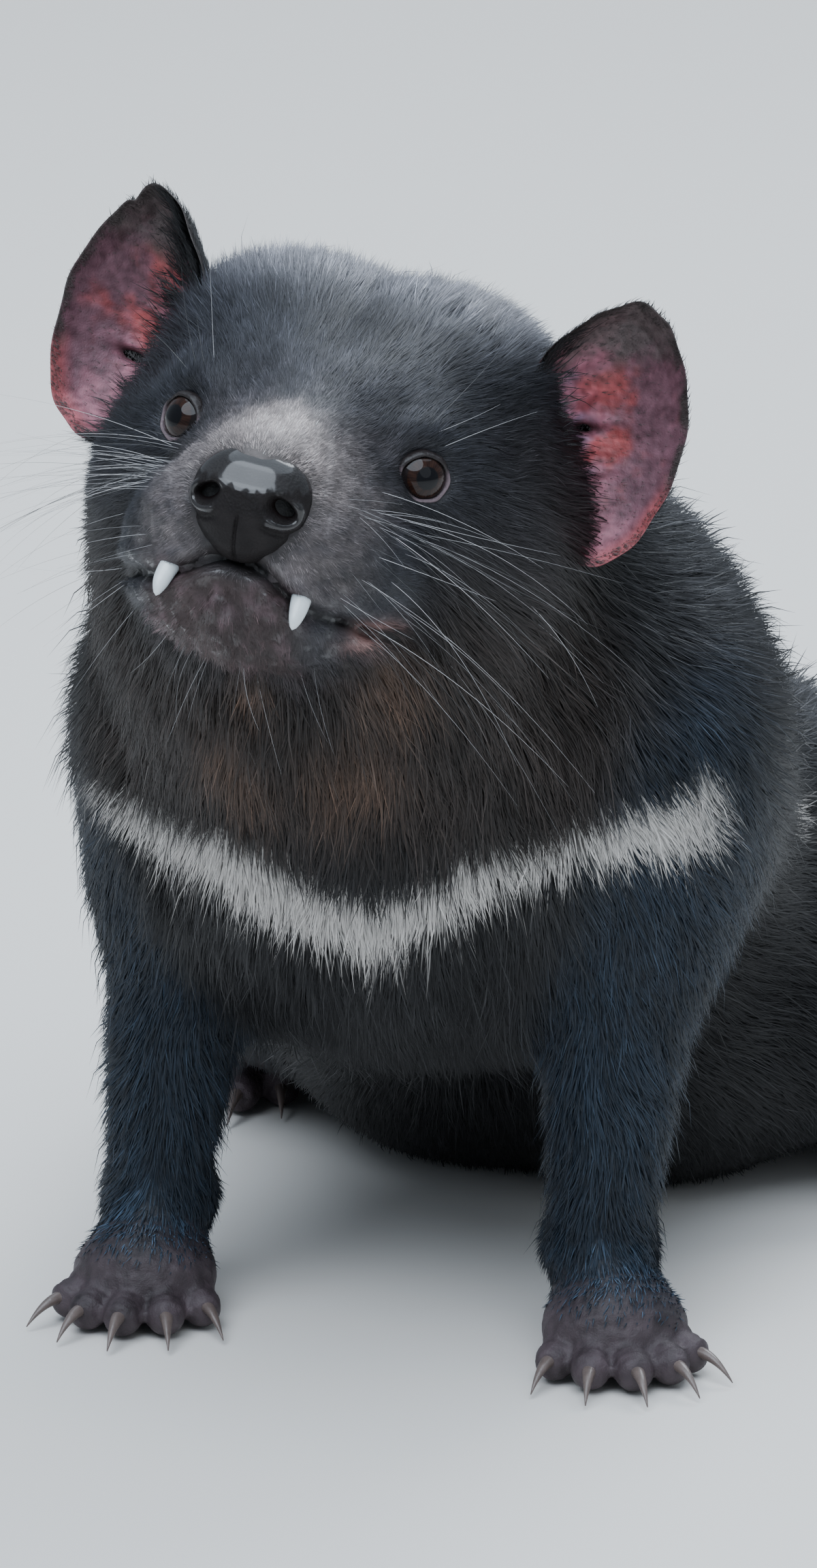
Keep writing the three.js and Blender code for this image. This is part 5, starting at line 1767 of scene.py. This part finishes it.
class WhiskerPieces(bpy.types.Operator):
    """Build the long whiskers of the muzzle, brows, cheeks and chin"""

    bl_idname = "devil.whiskers"
    bl_label = "Whiskers"

    def execute(self, context):
        face = context.scene.devil_face
        radius = face.whisker_radius * 1000
        draw = np.random.default_rng(81)
        tubes = []
        for side in SIDES:
            for count, middle, spread, way, change, lengths, droop in WHISKER_BEDS:
                for share in draw.uniform(-1, 1, (count, 3)):
                    root = root_in_skin(np.array(middle, float) + share * np.array(spread, float))
                    aim = np.array(way) + np.array(change) * share[1]
                    aim = rows(aim + np.array([0, 0, 0.22]) * share[2])
                    aim = rows(aim + draw.normal(0, 0.12, 3))
                    reach = np.interp(share[1], (-1, 1), lengths) * draw.uniform(0.75, 1.15)
                    fall = np.array([0, 0.45, -1]) * droop * draw.uniform(0.2, 2.0)
                    fall = (fall + draw.normal(0, 6, 3)) * (reach / lengths[1]) ** 2
                    thick = radius * draw.uniform(0.7, 1.15) * (0.7 + 0.3 * reach / lengths[1])
                    aim, fall = (mirror(v, side) @ HEAD_AXES.T for v in (aim, fall))
                    root = out_of_head(mirror(root, side))
                    tubes.append(whisker(root, aim, reach, fall, thick))
        low, high = WHISKER_LIMIT - shift()
        tubes = [tube for tube in tubes if (tube > low).all() and (tube < high).all()]
        points, faces = several(tubes)
        piece = add_mesh("whiskers", points, faces)
        dark = draw.random(len(tubes)) < 0.35
        pale = np.array(face.whisker_colour) * draw.uniform(0.3, 0.95, (len(tubes), 1))
        tone = np.where(dark[:, None], 0.05, pale)
        paint(piece, np.repeat(tone, len(points) // len(tubes), axis=0))
        give(piece, grained("Whisker", 0.3, 300, 900, 0.2, 0.0))
        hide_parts("head")
        return {"FINISHED"}


# Stage

# The camera's aim in millimetres, its lens and sensor height; half the floor's side in metres

AIM = (29.7, -271.1, 179.3)
LENS = 215.4
SENSOR = 36
FLOOR_HALF = 9.0
LIGHTS_AIM = (0.0, -0.1, 0.2)
SKY_COLOUR, SKY_STRENGTH = (0.74, 0.86, 1.0, 1), 0.36


def area_light(name, at, size, power, colour):
    """A round light at a place, turned towards the animal."""
    light = bpy.data.lights.new(name, "AREA")
    light.shape, light.size, light.energy, light.color = "DISK", size, power, colour
    lamp = bpy.data.objects.new(name, light)
    lamp.location = at
    way = Vector(LIGHTS_AIM) - Vector(at)
    lamp.rotation_euler = way.to_track_quat("-Z", "Y").to_euler()
    bpy.context.scene.collection.objects.link(lamp)


class StagePieces(bpy.types.Operator):
    """Build the plain floor, the soft lights and the camera"""

    bl_idname = "devil.stage"
    bl_label = "Stage"

    def execute(self, context):
        stage = context.scene.devil_stage
        square = ((-1, -1), (1, -1), (1, 1), (-1, 1))
        corners = [(x * FLOOR_HALF, y * FLOOR_HALF, 0) for x, y in square]
        mesh = bpy.data.meshes.new("floor")
        mesh.from_pydata(corners, [], [(0, 1, 2, 3)])
        floor = bpy.data.objects.new("floor", mesh)
        context.scene.collection.objects.link(floor)
        floor.data.materials.append(grained("Floor", 0.7, 3, 40, 0.03, 0, colour=stage.floor_colour))
        world = bpy.data.worlds.new("Studio")
        world.use_nodes = True
        background = world.node_tree.nodes["Background"]
        background.inputs["Color"].default_value = SKY_COLOUR
        background.inputs["Strength"].default_value = SKY_STRENGTH
        context.scene.world = world
        cycles = context.scene.cycles
        cycles.max_bounces, cycles.diffuse_bounces, cycles.glossy_bounces = 4, 2, 2
        area_light("key", (-0.1, -1.5, 3.0), 3.4, stage.key_power, (0.80, 0.89, 1.0))
        area_light("fill", (2.6, -2.0, 2.2), 3.2, stage.fill_power, (0.88, 0.94, 1.0))
        area_light("back", (0.3, 1.9, 2.2), 1.4, stage.fill_power * 2.2, (0.88, 0.94, 1.0))
        area_light("above", (0.1, 1.2, 3.4), 4.2, stage.sky_power, (0.76, 0.87, 1.0))
        a, e = stage.azimuth, stage.elevation
        back = Vector((math.sin(a) * math.cos(e), -math.cos(a) * math.cos(e), math.sin(e)))
        camera = bpy.data.cameras.new("camera")
        camera.sensor_fit, camera.sensor_height, camera.lens = "VERTICAL", SENSOR, LENS
        camera.clip_start, camera.clip_end = 0.05, 60
        eye = bpy.data.objects.new("camera", camera)
        eye.location = Vector(AIM) / 1000 + back * stage.focus
        eye.rotation_euler = (-back).to_track_quat("-Z", "Y").to_euler()
        context.scene.collection.objects.link(eye)
        context.scene.camera = eye
        return {"FINISHED"}


PIECES = (
    StagePieces,
    SkinPiece,
    EyePieces,
    NosePiece,
    EarPieces,
    ToothPieces,
    ClawPieces,
    WhiskerPieces,
    CoatPieces,
)
SETTINGS = {"devil_coat": CoatSettings, "devil_face": FaceSettings, "devil_stage": StageSettings}


class DevilPanel(bpy.types.Panel):
    """Lists the settings and the steps that build the animal"""

    bl_idname = "VIEW3D_PT_devil"
    bl_label = "Tasmanian Devil"
    bl_space_type = "VIEW_3D"
    bl_region_type = "UI"
    bl_category = "Devil"

    def draw(self, context):
        for operator in PIECES:
            self.layout.operator(operator.bl_idname)
        for name, group in SETTINGS.items():
            box = self.layout.box()
            for key in group.__annotations__:
                box.prop(getattr(context.scene, name), key)


def register():
    for kind in (*SETTINGS.values(), *PIECES, DevilPanel):
        bpy.utils.register_class(kind)
    for name, group in SETTINGS.items():
        setattr(bpy.types.Scene, name, bpy.props.PointerProperty(type=group))


def unregister():
    for name in SETTINGS:
        delattr(bpy.types.Scene, name)
    for kind in (DevilPanel, *reversed(PIECES), *reversed(SETTINGS.values())):
        bpy.utils.unregister_class(kind)


def main():
    register()
    for operator in PIECES:
        group, step = operator.bl_idname.split(".")
        getattr(getattr(bpy.ops, group), step)()


if __name__ == "__main__":
    main()
